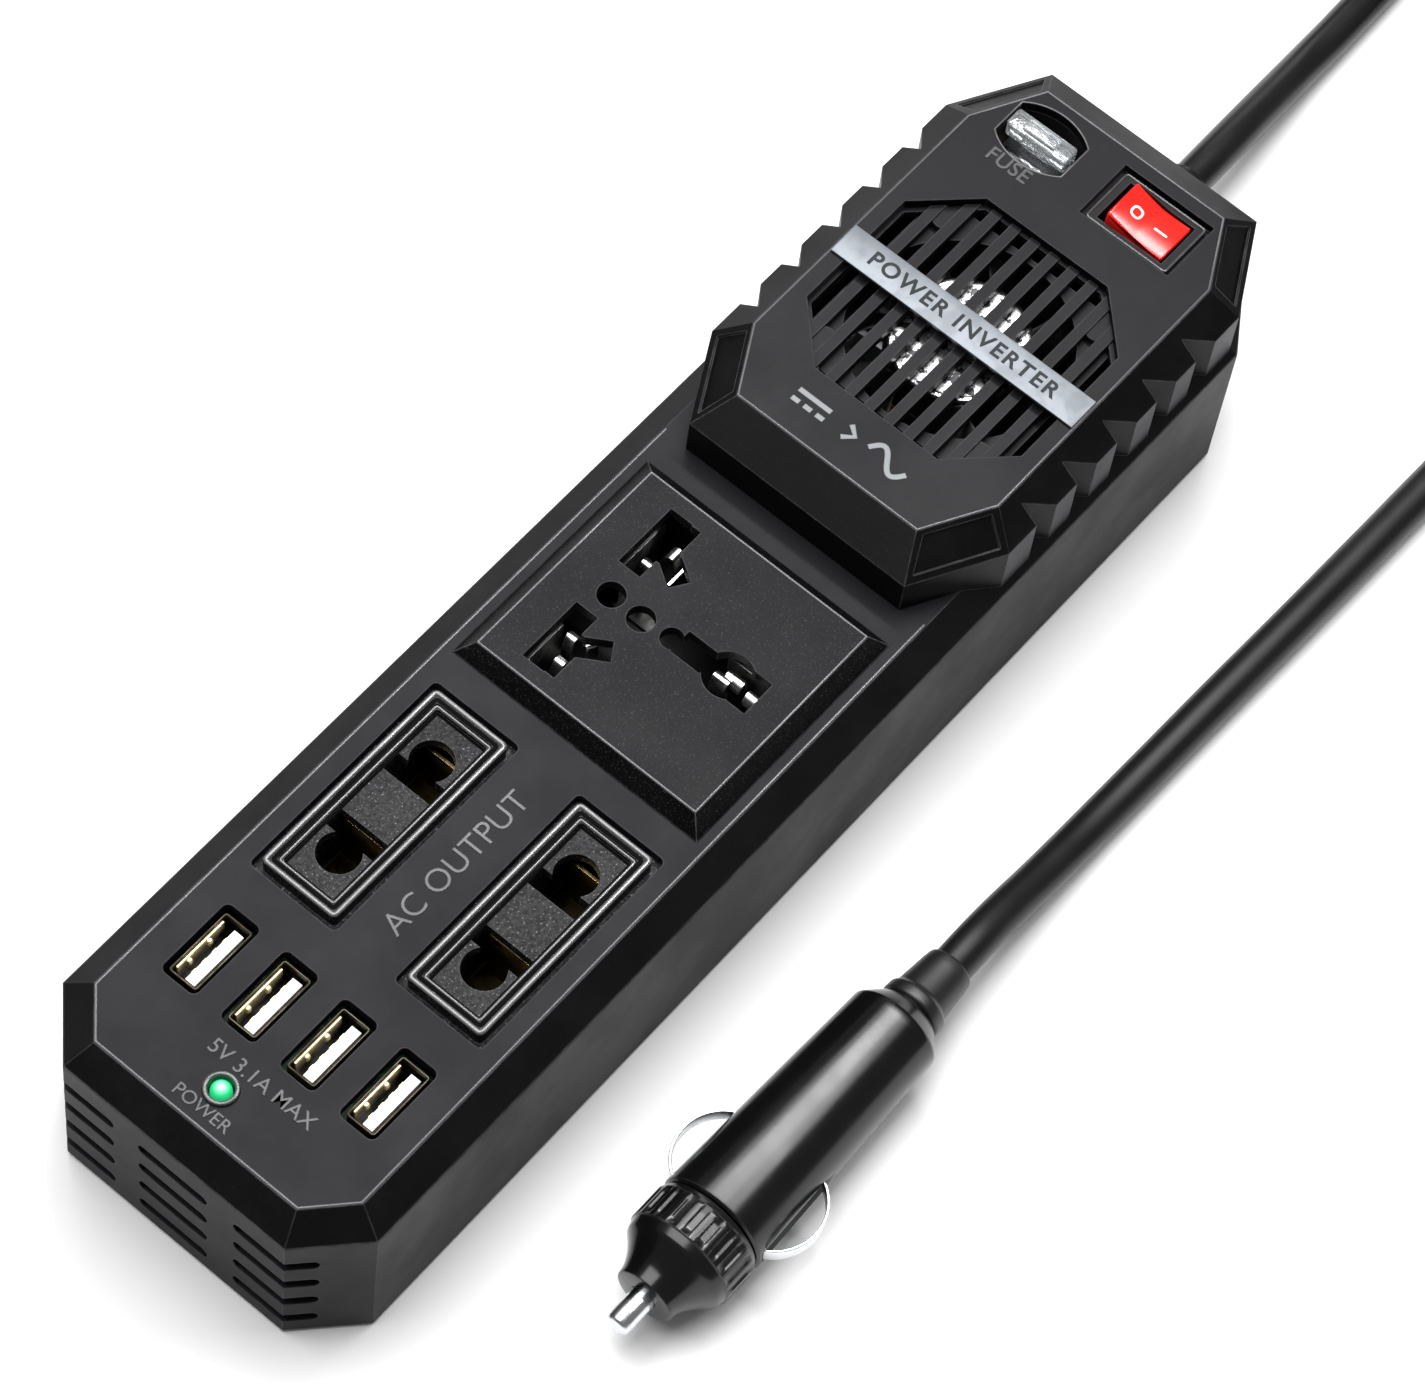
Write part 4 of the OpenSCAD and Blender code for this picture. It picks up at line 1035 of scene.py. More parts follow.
@dataclass
class Studio:
    """Pale floor, soft light and the camera. Angles in degrees, lengths in millimetres, clip in metres."""

    azimuth: float = 211.887
    elevation: float = 60.689
    roll: float = 9.241
    distance: float = 875.858
    target: tuple[float, float, float] = (1.787, -4.524, 20.0)
    lens: float = 138.0
    sensor: float = 36.0
    clip: tuple[float, float] = (0.05, 20.0)
    shift: tuple[float, float] = (0.0023, -0.0068)
    floor_size: float = 9000.0
    floor_colour: Colour = (0.86, 0.86, 0.865)
    sky: float = 0.2
    lamps: tuple[Softbox, ...] = (
        Softbox("overhead_softbox", (0.0, 0.3, 1.2), (0.0, 0.0, 0.0), (1.3, 1.0), 24.0),
        Softbox("strip_softbox", (0.5, -0.06, 1.2), (0.05, -0.03, 0.0), (1.2, 0.1), 11.0),
        Softbox("back_softbox", (1.0, 0.55, 0.5), (0.0, 0.0, 0.02), (0.5, 0.3), 1.2),
    )

    def camera(self) -> bpy.types.Object:
        """Makes the camera, which looks at the target and is turned by roll about its own axis."""
        az, el, roll = (math.radians(a) for a in (self.azimuth, self.elevation, self.roll))
        back = Vector((math.cos(el) * math.cos(az), math.cos(el) * math.sin(az), math.sin(el)))
        right = (-back).cross(Vector((0, 0, 1))).normalized()
        up = right.cross(-back)
        side = right * math.cos(roll) + up * math.sin(roll)
        top = up * math.cos(roll) - right * math.sin(roll)
        place = (Vector(self.target) + back * self.distance) * MM
        data = bpy.data.cameras.new("camera")
        data.lens = self.lens
        data.sensor_width = self.sensor
        data.shift_x, data.shift_y = self.shift
        data.clip_start, data.clip_end = self.clip
        camera = new_object("camera", data)
        turn = Matrix((side, top, back)).transposed().to_4x4()
        camera.matrix_world = Matrix.Translation(place) @ turn
        bpy.context.scene.camera = camera
        return camera

    def floor(self) -> bpy.types.Object:
        """Makes the floor, a plain pale sheet at Z = 0."""
        half = self.floor_size / 2
        line = np.linspace(-half, half, 3)
        x, y = np.meshgrid(line, line, indexing="ij")
        sheet = Surface("floor").grid(np.stack([x, y, 0 * x], -1), around=False).build()
        sheet.data.materials.append(Paper(self.floor_colour).material("floor_paper", None))
        return sheet

    @staticmethod
    def lamp(box: Softbox) -> bpy.types.Object:
        """Makes one lamp."""
        data = bpy.data.lights.new(box.name, "AREA")
        data.shape = "RECTANGLE"
        data.size, data.size_y = box.size
        data.energy = box.power
        lamp = new_object(box.name, data)
        away = Vector(box.place) - Vector(box.aim)
        lamp.matrix_world = Matrix.Translation(box.place) @ away.to_track_quat("Z", "Y").to_matrix().to_4x4()
        return lamp

    def build(self) -> None:
        """Builds the whole studio."""
        self.camera()
        self.floor()
        for box in self.lamps:
            self.lamp(box)
        world = bpy.data.worlds.new("studio")
        world.use_nodes = True
        background = world.node_tree.nodes["Background"]
        Graph(world.node_tree).feed(background, {"Color": rgba((1.0, 1.0, 1.0)), "Strength": self.sky})
        scene = bpy.context.scene
        scene.world = world
        scene.view_settings.view_transform = "Standard"
        scene.view_settings.look = "None"


# -----------------------------------------------------------------------------------------------------------
# Cord
# -----------------------------------------------------------------------------------------------------------

# The cord's route in metres: distance from the case's USB end, place across, height.
ROUTE_OUT = (
    (0.259, 0.0016, 0.010), (0.266, 0.0017, 0.0098), (0.274, 0.002, 0.0089), (0.282, 0.0025, 0.0073),
    (0.290, 0.003, 0.0056), (0.298, 0.0034, 0.0043), (0.308, 0.0036, 0.0037), (0.322, 0.004, 0.0036),
    (0.336, 0.0048, 0.0038), (0.348, 0.0053, 0.0043), (0.360, 0.0055, 0.0046),
)
ROUTE_BACK = (
    (0.360, -0.0665, 0.0116), (0.350, -0.0665, 0.0113), (0.339, -0.0663, 0.0098), (0.328, -0.066, 0.0074),
    (0.316, -0.0658, 0.0052), (0.305, -0.0656, 0.004), (0.292, -0.0654, 0.0036), (0.276, -0.0651, 0.0036),
    (0.258, -0.0648, 0.0036), (0.240, -0.0644, 0.0036), (0.222, -0.064, 0.0036), (0.204, -0.0635, 0.0036),
    (0.186, -0.0629, 0.0036), (0.168, -0.0624, 0.0036), (0.155, -0.0621, 0.0039), (0.145, -0.062, 0.0048),
    (0.136, -0.062, 0.0064), (0.128, -0.062, 0.0083), (0.121, -0.0621, 0.0096), (0.1135, -0.0622, 0.010),
)


@dataclass
class SupplyCord(Maker):
    """The cord from the case to the car plug, its strain relief and its tie."""

    diameter: float = 7.0
    coil_radius: float = 36.0
    coil_turn: float = 540.0
    coil_steps: int = 27
    climb: tuple[float, float] = (200.0, 350.0)
    relief_rib: float = 2.6
    relief_radius: float = 6.0
    relief_taper: float = 1.7
    relief_groove: float = 0.55
    relief_flange: float = 7.0

    def route(self) -> np.ndarray:
        """Points of the centreline in millimetres: out, round the coil, and back.

        A coil point at turn a is the centre plus radius times (sin a, cos a), which runs clockwise from the
        +Y side, and its height climbs by one diameter between the two climb angles.
        """
        case_low, _ = span("lower_case")
        start = np.array([case_low[0], 0, 0])
        out, back = (np.array(r) / MM + start for r in (ROUTE_OUT, ROUTE_BACK))
        centre = out[-1] - [0, self.coil_radius, 0]
        turn = np.linspace(0, self.coil_turn, self.coil_steps + 1)[1:-1]
        a = np.radians(turn)
        t = np.clip((turn - self.climb[0]) / (self.climb[1] - self.climb[0]), 0, 1)
        lift = self.diameter * t * t * (3 - 2 * t)
        ring = centre + np.stack([self.coil_radius * np.sin(a), self.coil_radius * np.cos(a), lift], 1)
        return np.concatenate([out, ring, back])

    @staticmethod
    def smooth(points: np.ndarray, steps: int = 8) -> np.ndarray:
        """Catmull-Rom line: each stretch is the cubic set by its two ends and their two neighbours."""
        p = np.concatenate([2 * points[:1] - points[1:2], points, 2 * points[-1:] - points[-2:-1]])
        a, b, c, d = p[:-3, None], p[1:-2, None], p[2:-1, None], p[3:, None]
        t = np.linspace(0, 1, steps, endpoint=False)[None, :, None]
        square, cube = 2 * a - 5 * b + 4 * c - d, 3 * b - a - 3 * c + d
        line = 0.5 * (2 * b + (c - a) * t + square * t**2 + cube * t**3)
        return np.concatenate([line.reshape(-1, 3), points[-1:]])

    def cord(self) -> tuple[bpy.types.Object, float]:
        """Makes the cord as one open curve, and gives its length in metres with it."""
        line = self.smooth(self.route()) * MM
        curve = bpy.data.curves.new("supply_cord", "CURVE")
        curve.dimensions = "3D"
        curve.bevel_depth = self.diameter / 2 * MM
        curve.bevel_resolution = 7
        curve.use_fill_caps = True
        spline = curve.splines.new("POLY")
        spline.points.add(len(line) - 1)
        spline.points.foreach_set("co", np.concatenate([line, np.ones((len(line), 1))], 1).ravel())
        piece = new_object("supply_cord", curve)
        self.hand_over(piece, "cord_pvc", "cord_pvc", stands_for=["power_cord", "cord_coil"])
        return piece, float(np.linalg.norm(np.diff(line, axis=0), axis=1).sum())

    def relief(self) -> bpy.types.Object:
        """Makes the ribbed strain relief: a flange, then a taper with a groove every rib pitch."""
        low, high = span("cord_relief")
        _, case_high = span("lower_case")
        wall = case_high[0]
        centre = middle("cord_relief") * [0, 1, 1]
        s = np.linspace(wall + 2.6, high[0] - 0.6, 150)
        share = (s - s[0]) / (s[-1] - s[0])
        groove = np.clip(np.cos((s - s[0]) / self.relief_rib * 2 * math.pi) * 3 - 1.6, 0, 1)
        radius = self.relief_radius - self.relief_taper * share - self.relief_groove * groove
        taper = np.stack([s, radius], 1)
        rim = self.relief_flange
        flange = rounded([[wall - 2.2, 0.0], [wall - 2.2, 4.7], [wall, 4.7], [wall, rim], [wall + 2.2, rim],
                          [wall + 2.4, self.relief_radius]], 0.5, closed=False)
        end = np.array([[high[0] - 0.1, 4.15], [high[0], 3.9], [high[0], 0.0]])
        rings = turned(np.concatenate([flange, taper, end]), centre, 0)
        piece = Surface("strain_relief").grid(rings).build()
        return self.hand_over(piece, "cord_pvc", "cord_pvc", stands_for=["cord_relief"])

    def tie(self) -> bpy.types.Object:
        """Makes the strap round the coil: a soft band whose outline is the tie node's own box."""
        low, high = span("cord_tie")
        size = high - low
        outline = box_outline(size[0], size[2], 3.4)
        band = soft_pipe(outline, 0.9, -size[1] / 2, size[1] / 2)
        rings = placed(band, Plane.ACROSS_Y, middle("cord_tie"))
        piece = Surface("coil_strap").grid(rings, loop=True).build()
        return self.hand_over(piece, "dark_plastic", "dark_plastic", stands_for=["cord_tie"])

    def build(self) -> list[bpy.types.Object]:
        """Builds the cord, which carries its length as a property, then its relief and its tie."""
        cord, length = self.cord()
        cord["length_m"] = length
        return [cord, self.relief(), self.tie()]


# -----------------------------------------------------------------------------------------------------------
# Car plug
# -----------------------------------------------------------------------------------------------------------


@dataclass
class CarPlug(Maker):
    """The 12 V plug. Distances run along X from the tip's end."""

    rib_count: int = 22
    rib_depth: float = 0.35
    ring_from: float = 15.2
    ring_to: float = 21.2
    slot_from: float = 23.5
    slot_to: float = 40.3
    slot_half: int = 3
    around: int = 96
    wall: float = 1.9
    shoulder_at: float = 22.7
    radius: float = 9.7
    draft: float = 0.0322
    spring_wire: float = 0.45
    spring_turns: int = 4
    press: float = 3.5

    def axis(self) -> tuple[float, list[float]]:
        """The tip's end along X, and a point on the plug's axis at X = 0, in millimetres."""
        tip_low, _ = span("plug_tip")
        centre = middle("plug_nose")
        return tip_low[0], [0.0, centre[1], centre[2]]

    def on_axis(self, name: str, profile: np.ndarray | list, sharp: float = CRISP) -> bpy.types.Object:
        """A piece turned round the plug's axis from a profile of distance from the tip's end and radius."""
        start, centre = self.axis()
        rings = turned(np.asarray(profile) + [start, 0], centre, 0)
        return Surface(name).grid(rings, caps=False).build(sharp)

    def side_radius(self, along: float | np.ndarray) -> float | np.ndarray:
        """Radius of the barrel's drafted side."""
        return self.radius - (along - self.shoulder_at) * self.draft

    def barrel(self) -> bpy.types.Object:
        """Makes the barrel: a turned shell with two slots left out, given a wall by Solidify."""
        start, centre = self.axis()
        mouth = [[16.7, 7.8], [22.6, 7.8], [self.shoulder_at, 9.2], [23.1, 9.66]]
        s = np.array([self.slot_from, self.slot_to, *np.linspace(self.slot_to + 2, 66.2, 14)])
        side = np.stack([s, self.side_radius(s)], 1)
        shoulder = rounded([[66.6, 8.29], [67.7, 8.25], [71.5, 5.2], [71.8, 4.0]], 0.35, closed=False)
        profile = np.concatenate([mouth, side, shoulder])
        slot_row = len(mouth)
        profile[:, 0] += start
        surface = Surface("plug_body")
        rings = turned(profile, centre, 0, self.around)
        surface.grid(rings, caps=False)
        quads = np.array(surface.faces)
        row, col = quads[:, 0] // self.around, quads[:, 0] % self.around
        quarter_turn = self.around // 2
        near = np.minimum(col % quarter_turn, quarter_turn - 1 - col % quarter_turn)
        hole = (row == slot_row) & (near < self.slot_half)
        surface.faces = quads[~hole].tolist()
        piece = surface.build()
        wall = piece.modifiers.new("wall", "SOLIDIFY")
        wall.thickness = self.wall * MM
        wall.offset = -1.0
        return self.hand_over(piece, "plug_plastic", "dark_plastic", stands_for=["plug_barrel"])

    def nose(self) -> bpy.types.Object:
        """Makes the screwed nose: a concave cone and a ribbed ring, turned as a loop round its bore.

        Along the ring the radius drops by the rib depth where the cosine of rib count times angle is low.
        """
        start, centre = self.axis()
        cone_s = np.linspace(0, 1, 14)
        cone = np.stack([7.0 + 6.3 * cone_s, 5.35 + 3.6 * cone_s**1.8], 1)
        outer = [[6.7, 2.3], [6.7, 4.95], [6.8, 5.25], *cone, [13.8, 9.15], [14.6, 9.35], [15.0, 9.45]]
        ring = [[s, 9.75] for s in np.linspace(self.ring_from, self.ring_to, 9)]
        inner = [[21.7, 9.4], [22.3, 9.3], [22.4, 9.0], [22.4, 8.2], [15.1, 8.2], [15.1, 3.9], [11.7, 3.9],
                 [11.7, 2.3]]
        profile = np.array(outer + ring + inner)
        profile[:, 0] += start
        around = self.rib_count * 10
        rings = turned(profile, centre, 0, around)
        a = np.linspace(0, 2 * math.pi, around, endpoint=False)
        groove = np.clip(0.5 - 1.4 * np.cos(a * self.rib_count), 0, 1) * self.rib_depth
        margin, ring_foot = 0.1, 9.6
        along = profile[:, 0] - start
        inside = (along > self.ring_from + margin) & (along < self.ring_to - margin)
        inside &= profile[:, 1] > ring_foot
        spoke = unit((rings - np.array(centre)) * [0, 1, 1])
        rings -= spoke * (groove[None, :] * inside[:, None])[..., None]
        piece = Surface("plug_nose_ring").grid(rings, loop=True).build(CRISP_SHEET)
        return self.hand_over(piece, "plug_plastic", "dark_plastic", "plug_nose_ring", ["plug_nose"])

    def tip(self) -> bpy.types.Object:
        """Makes the tip pin: a straight pin with a rounded end and a flange inside the nose."""
        inset, rise = quarter(10)
        nose = np.stack([0.95 * inset, 1.2 + 0.92 * rise], 1)
        rest = [[1.5, 2.18], [5.2, 2.2], [11.1, 2.2], [11.1, 3.4], [12.7, 3.4], [12.7, 0.0]]
        piece = self.on_axis("plug_tip_pin", np.concatenate([[[0.0, 0.0]], nose, rest]))
        return self.hand_over(piece, "contact_nickel", "contact_nickel", "plug_tip_pin", ["plug_tip"])

    def side_contact(self, side: int) -> bpy.types.Object:
        """Makes one bowed side contact: a strip carried along an arc, with its ends turned in.

        Args:
            side: 1 for the +Y side, -1 for the other.

        Returns:
            The piece.
        """
        name = "left" if side > 0 else "right"
        low, high = span("plug_contact_" + name)
        _, centre = self.axis()
        mid, half = (low[0] + high[0]) / 2, (high[0] - low[0]) / 2
        radius, off, inset = 9.0, 4.7, 0.3
        lean = np.linspace(-1, 1, 41) * math.asin((half - inset) / radius)
        arc = np.stack([mid + (radius - inset) * np.sin(lean), off + (radius - inset) * np.cos(lean)], 1)
        foot_a = np.array([[mid - half + 0.7, 7.3], [mid - half + 0.3, 7.6]])
        foot_b = np.array([[mid + half - 0.3, 7.6], [mid + half - 0.7, 7.3]])
        line = rounded(np.concatenate([foot_a, arc, foot_b]), 0.4, 4, closed=False)
        normal = sideways(line)
        section = box_outline(0.5, 3.0, 0.2, 4)
        rings = np.empty((len(line), len(section), 3))
        rings[..., :2] = line[:, None] + normal[:, None] * section[None, :, :1]
        rings[..., 2] = section[None, :, 1] + centre[2]
        rings[..., 1] = centre[1] + side * rings[..., 1]
        piece = Surface("plug_side_contact_" + name).grid(rings).build(CRISP_SHEET)
        return self.hand_over(piece, "contact_nickel", "contact_nickel", "side_contact_" + name,
                         ["plug_contact_" + name])

    def boot(self) -> bpy.types.Object:
        """Makes the boot: a short stepped cone over the cord."""
        outline = rounded([[71.0, 4.2], [71.6, 5.6], [73.6, 5.5], [74.2, 4.9], [80.6, 4.35], [82.2, 4.1],
                           [82.2, 3.0]], 0.5, closed=False)
        profile = np.concatenate([[[71.0, 0.0]], outline, [[82.2, 0.0]]])
        piece = self.on_axis("plug_boot_cone", profile, CRISP_SHEET)
        return self.hand_over(piece, "plug_boot", "cord_pvc", stands_for=["plug_boot"])

    def spring(self) -> bpy.types.Object:
        """Makes the coil spring behind the fuse at one fixed length; the real spring shortens as the tip is
        pressed.

        A point at turn a and section angle b is on a helix of even climb, moved by the wire's radius times
        (cos b outwards, sin b along the axis).
        """
        low, high = span("plug_spring")
        wire = self.spring_wire
        radius = (high[1] - low[1]) / 2 - wire
        a = np.linspace(0, 2 * math.pi * self.spring_turns, 32 * self.spring_turns + 1)[:, None]
        b = np.linspace(0, 2 * math.pi, 12, endpoint=False)[None, :]
        along = np.linspace(low[0] + wire, high[0] - wire, len(a))[:, None]
        reach = radius + wire * np.cos(b)
        rings = np.stack([along + wire * np.sin(b) + 0 * a, reach * np.cos(a), reach * np.sin(a)], -1)
        centre = middle("plug_spring") * [0, 1, 1]
        piece = Surface("plug_spring_coil").grid(rings + centre).build(CRISP_BEAD)
        self.hand_over(piece, "screw_steel", "screw_steel", stands_for=["plug_spring"])
        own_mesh(piece)
        return piece

    def build(self) -> list[bpy.types.Object]:
        """Builds every piece of the plug."""
        return [self.barrel(), self.nose(), self.tip(), self.side_contact(1),
                self.side_contact(-1), self.boot(), self.spring()]


# -----------------------------------------------------------------------------------------------------------
# Pieces on the case
# -----------------------------------------------------------------------------------------------------------


@dataclass
class UsbRow(Maker):
    """The USB port shells and the sprung strip on one inner wall of each."""

    wall: float = 0.4
    corner: float = 0.7
    count: int = 4
    strip: tuple[float, float] = (10.6, 0.5)
    dimple: float = 1.1
    dimples_at: tuple[float, float] = (-2.9, 1.6)

    def strips(self) -> bpy.types.Object:
        """Makes a narrow strip with two dimples inside the +Y wall of every shell, as one piece."""
        surface = Surface("usb_strips_gold")
        for number in range(1, self.count + 1):
            low, high = span(f"usb_shell_{number}")
            wall = np.array([(low[0] + high[0]) / 2, high[1] - self.wall - self.strip[1] / 2, high[2]])
            surface.grid(soft_prism(box_outline(*self.strip, 0.2), -4.0, -0.5, 0.15) + wall)
            for x in self.dimples_at:
                knob = soft_prism(box_outline(self.dimple, self.dimple, 0.5), -2.2, -0.8, 0.35)
                surface.grid(knob + wall + [x, -0.4, 0])
        return self.hand_over(surface.build(CRISP_SHEET), "spring_gold", "shell_steel")

    def build(self) -> list[bpy.types.Object]:
        """Makes each shell as a rounded sheet-metal sleeve."""
        made = []
        for number in range(1, self.count + 1):
            node = f"usb_shell_{number}"
            low, high = span(node)
            outline = box_outline(high[0] - low[0], high[1] - low[1], self.corner)
            rings = soft_pipe(outline, self.wall, low[2], high[2]) + plan_centre(node)
            piece = Surface(f"usb_sleeve_{number}").grid(rings, loop=True).build(CRISP_SHEET)
            made.append(self.hand_over(piece, "shell_steel", "shell_steel", stands_for=[node]))
        made.append(self.strips())
        return made


@dataclass
class ContactLeaves(Maker):
    """The spring leaves under the universal socket's holes.

    Each leaf has its place from the socket's middle, its turn in degrees and its width.
    """

    places: tuple[tuple[float, float, float, float], ...] = (
        (8.9, 13.2, 0.0, 2.0), (14.2, 10.1, 90.0, 2.4), (-9.4, 13.4, 0.0, 1.8), (-14.0, 11.9, 0.0, 1.8),
        (-8.0, 9.3, 60.0, 1.8), (0.9, -8.9, 0.0, 3.0), (4.4, -10.6, 180.0, 3.4), (3.6, -14.9, 180.0, 2.6),
    )
    root: float = 23.0
    crest: float = 34.6
    sheet: float = 0.45

    def leaf(self, width: float) -> np.ndarray:
        """Rings of one leaf, which rises and curls over: a line offset by half the sheet to both sides."""
        top = self.crest
        line = rounded([[0, self.root], [0, top - 1.6], [0.7, top], [1.9, top - 0.5], [2.2, top - 1.8]],
                       0.8, 6, closed=False)
        normal = sideways(line) * self.sheet / 2
        section = np.concatenate([line + normal, (line - normal)[::-1]])
        rings = np.empty((2, len(section), 3))
        rings[..., 0], rings[..., 2] = section[:, 0], section[:, 1]
        rings[..., 1] = np.array([-width / 2, width / 2])[:, None]
        return rings

    def build(self) -> bpy.types.Object:
        """Builds every leaf as one piece."""
        centre = plan_centre("universal_socket")
        surface = Surface("contact_leaves")
        for x, y, degrees, width in self.places:
            turn = np.array(Matrix.Rotation(math.radians(degrees), 3, "Z"))
            surface.grid(self.leaf(width) @ turn.T + centre + [x, y, 0])
        return self.hand_over(surface.build(CRISP_SHEET), "leaf_nickel", "contact_nickel")


@dataclass
class PowerLight(Maker):
    """The green power light and its bright ring."""

    bore: float = 2.1
    tube: float = 2.9
    flange: float = 3.6
    lens: float = 1.75
    dome: float = 1.6
    lead_length: float = 14.6

    def build(self) -> list[bpy.types.Object]:
        """Makes the ring as a turned loop and the light as a turned dome."""
        low, high = span("led_ring")
        centre = plan_centre("led_ring")
        top, foot = high[2], low[2]
        loop = rounded([[foot, self.bore], [top, self.bore], [top, self.tube], [foot + 1, self.tube],
                        [foot + 1, self.flange], [foot, self.flange]], 0.35, 5)
        ring = Surface("light_ring").grid(turned(loop, centre, 2, 64), loop=True).build()
        self.hand_over(ring, "bezel_gloss", "dark_plastic", stands_for=["led_ring"])
        low, high = span("power_led")
        inset, rise = quarter(12)
        dome = np.stack([high[2] - self.dome + self.dome * rise, self.lens * (1 - inset)], 1)
        base = low[2] + self.lead_length
        rings = turned(np.concatenate([[[base, 0.0], [base, self.lens]], dome]), centre, 2, 48)
        light = Surface("power_light").grid(rings, caps=False).build()
        self.hand_over(light, "led_green", "led_green", stands_for=["power_led"])
        return [ring, light]


@dataclass
class Rocker(Maker):
    """The red rocker of the switch, in axes about its pivot before it is tilted."""

    half_length: float = 5.9
    half_width: float = 4.15
    crest: float = 3.2
    valley: float = 2.2
    soft: float = 0.45
    mark_lift: float = 0.1

    def place(self, frame: Frame) -> tuple[float, list[float]]:
        """The tilt at rest in degrees and the pivot in millimetres, both from the switch's joint."""
        joint = next(j for j in frame["joints"] if j["name"] == "rocker_tilt")
        tilt = -joint["range_deg"][0] / 2
        return tilt, [c / MM for c in joint["pos_m"]]

    def face(self, y: np.ndarray) -> np.ndarray:
        """Height of the top face along the rocker: a smoothed V with slightly dished arms."""
        share = np.abs(y) / self.half_length
        return self.valley + (self.crest - self.valley) * (0.25 * share + 0.75 * share**1.6)

    def body(self, frame: Frame) -> bpy.types.Object:
        """Makes the rocker by carrying its side outline across its width, with soft rims."""
        tilt, pivot = self.place(frame)
        y = np.linspace(-self.half_length + 0.25, self.half_length - 0.25, 25)
        top = np.stack([y, self.face(y)], 1)[::-1]
        under = np.array([[-self.half_length, self.crest - 0.4], [-5.6, -0.6], [-3.0, -3.2], [3.0, -3.2],
                          [5.6, -0.6], [self.half_length, self.crest - 0.4]])
        outline = np.concatenate([top, under])
        rings = soft_prism(outline, -self.half_width, self.half_width, self.soft)
        rings = tilted(placed(rings, Plane.ACROSS_X), tilt, pivot)
        end = self.half_width + 1.0
        pin = turned(np.array([[-end, 0.0], [-end, 0.98], [end, 0.98], [end, 0.0]]), pivot, 0, 32)
        piece = Surface("switch_rocker").grid(rings).grid(pin, caps=False).build()
        return self.hand_over(piece, "rocker_red", "rocker_red", "rocker", ["rocker"])

    def marks(self, frame: Frame) -> bpy.types.Object:
        """Makes the ring for off and the bar for on, raised a little from the top face."""
        tilt, pivot = self.place(frame)
        surface = Surface("switch_marks")
        ring = soft_pipe(rounded(box_outline(2.3, 2.3, 1.1), 0.1, 2), 0.42, 0, 1, 2)
        bar = soft_prism(box_outline(0.42, 2.6, 0.15), 0, 1, 0.1, 2)
        for rings, y, loop in ((ring, 2.5, True), (bar, -2.6, False)):
            rings = rings.copy()
            rings[..., 1] += y
            level = self.face(rings[..., 1])
            rings[..., 2] = level - 0.1 + (self.mark_lift + 0.1) * rings[..., 2]
            surface.grid(tilted(rings, tilt, pivot), loop=loop)
        return self.hand_over(surface.build(), "printed_white", "tongue_plastic", "rocker")

    def build(self, frame: Frame) -> list[bpy.types.Object]:
        """Builds the rocker and its marks.

        Args:
            frame: the loaded frame.

        Returns:
            The two pieces.
        """
        return [self.body(frame), self.marks(frame)]


@dataclass
class BladeFuse(Maker):
    """The clear blade fuse in its pocket."""

    soft: float = 0.35

    def build(self) -> bpy.types.Object:
        """Makes the clear body: a head with two test wells and a narrower skirt."""
        low, high = span("fuse_body")
        size = high - low
        head = soft_prism(box_outline(size[0], size[1], 0.8), high[2] - 3.8, high[2] - 0.5, self.soft)
        crown = soft_prism(box_outline(size[0] - 1.3, size[1] - 5.6, 0.6), high[2] - 0.9, high[2], 0.3)
        skirt = soft_prism(box_outline(size[0] - 0.8, size[1] - 1.5, 0.6), low[2], high[2] - 3.6, 0.2)
        surface = Surface("fuse_window")
        for rings in (head, crown, skirt):
            surface.grid(rings + plan_centre("fuse_body"))
        return self.hand_over(surface.build(), "fuse_clear", "fuse_clear", "blade_fuse", ["fuse_body"])


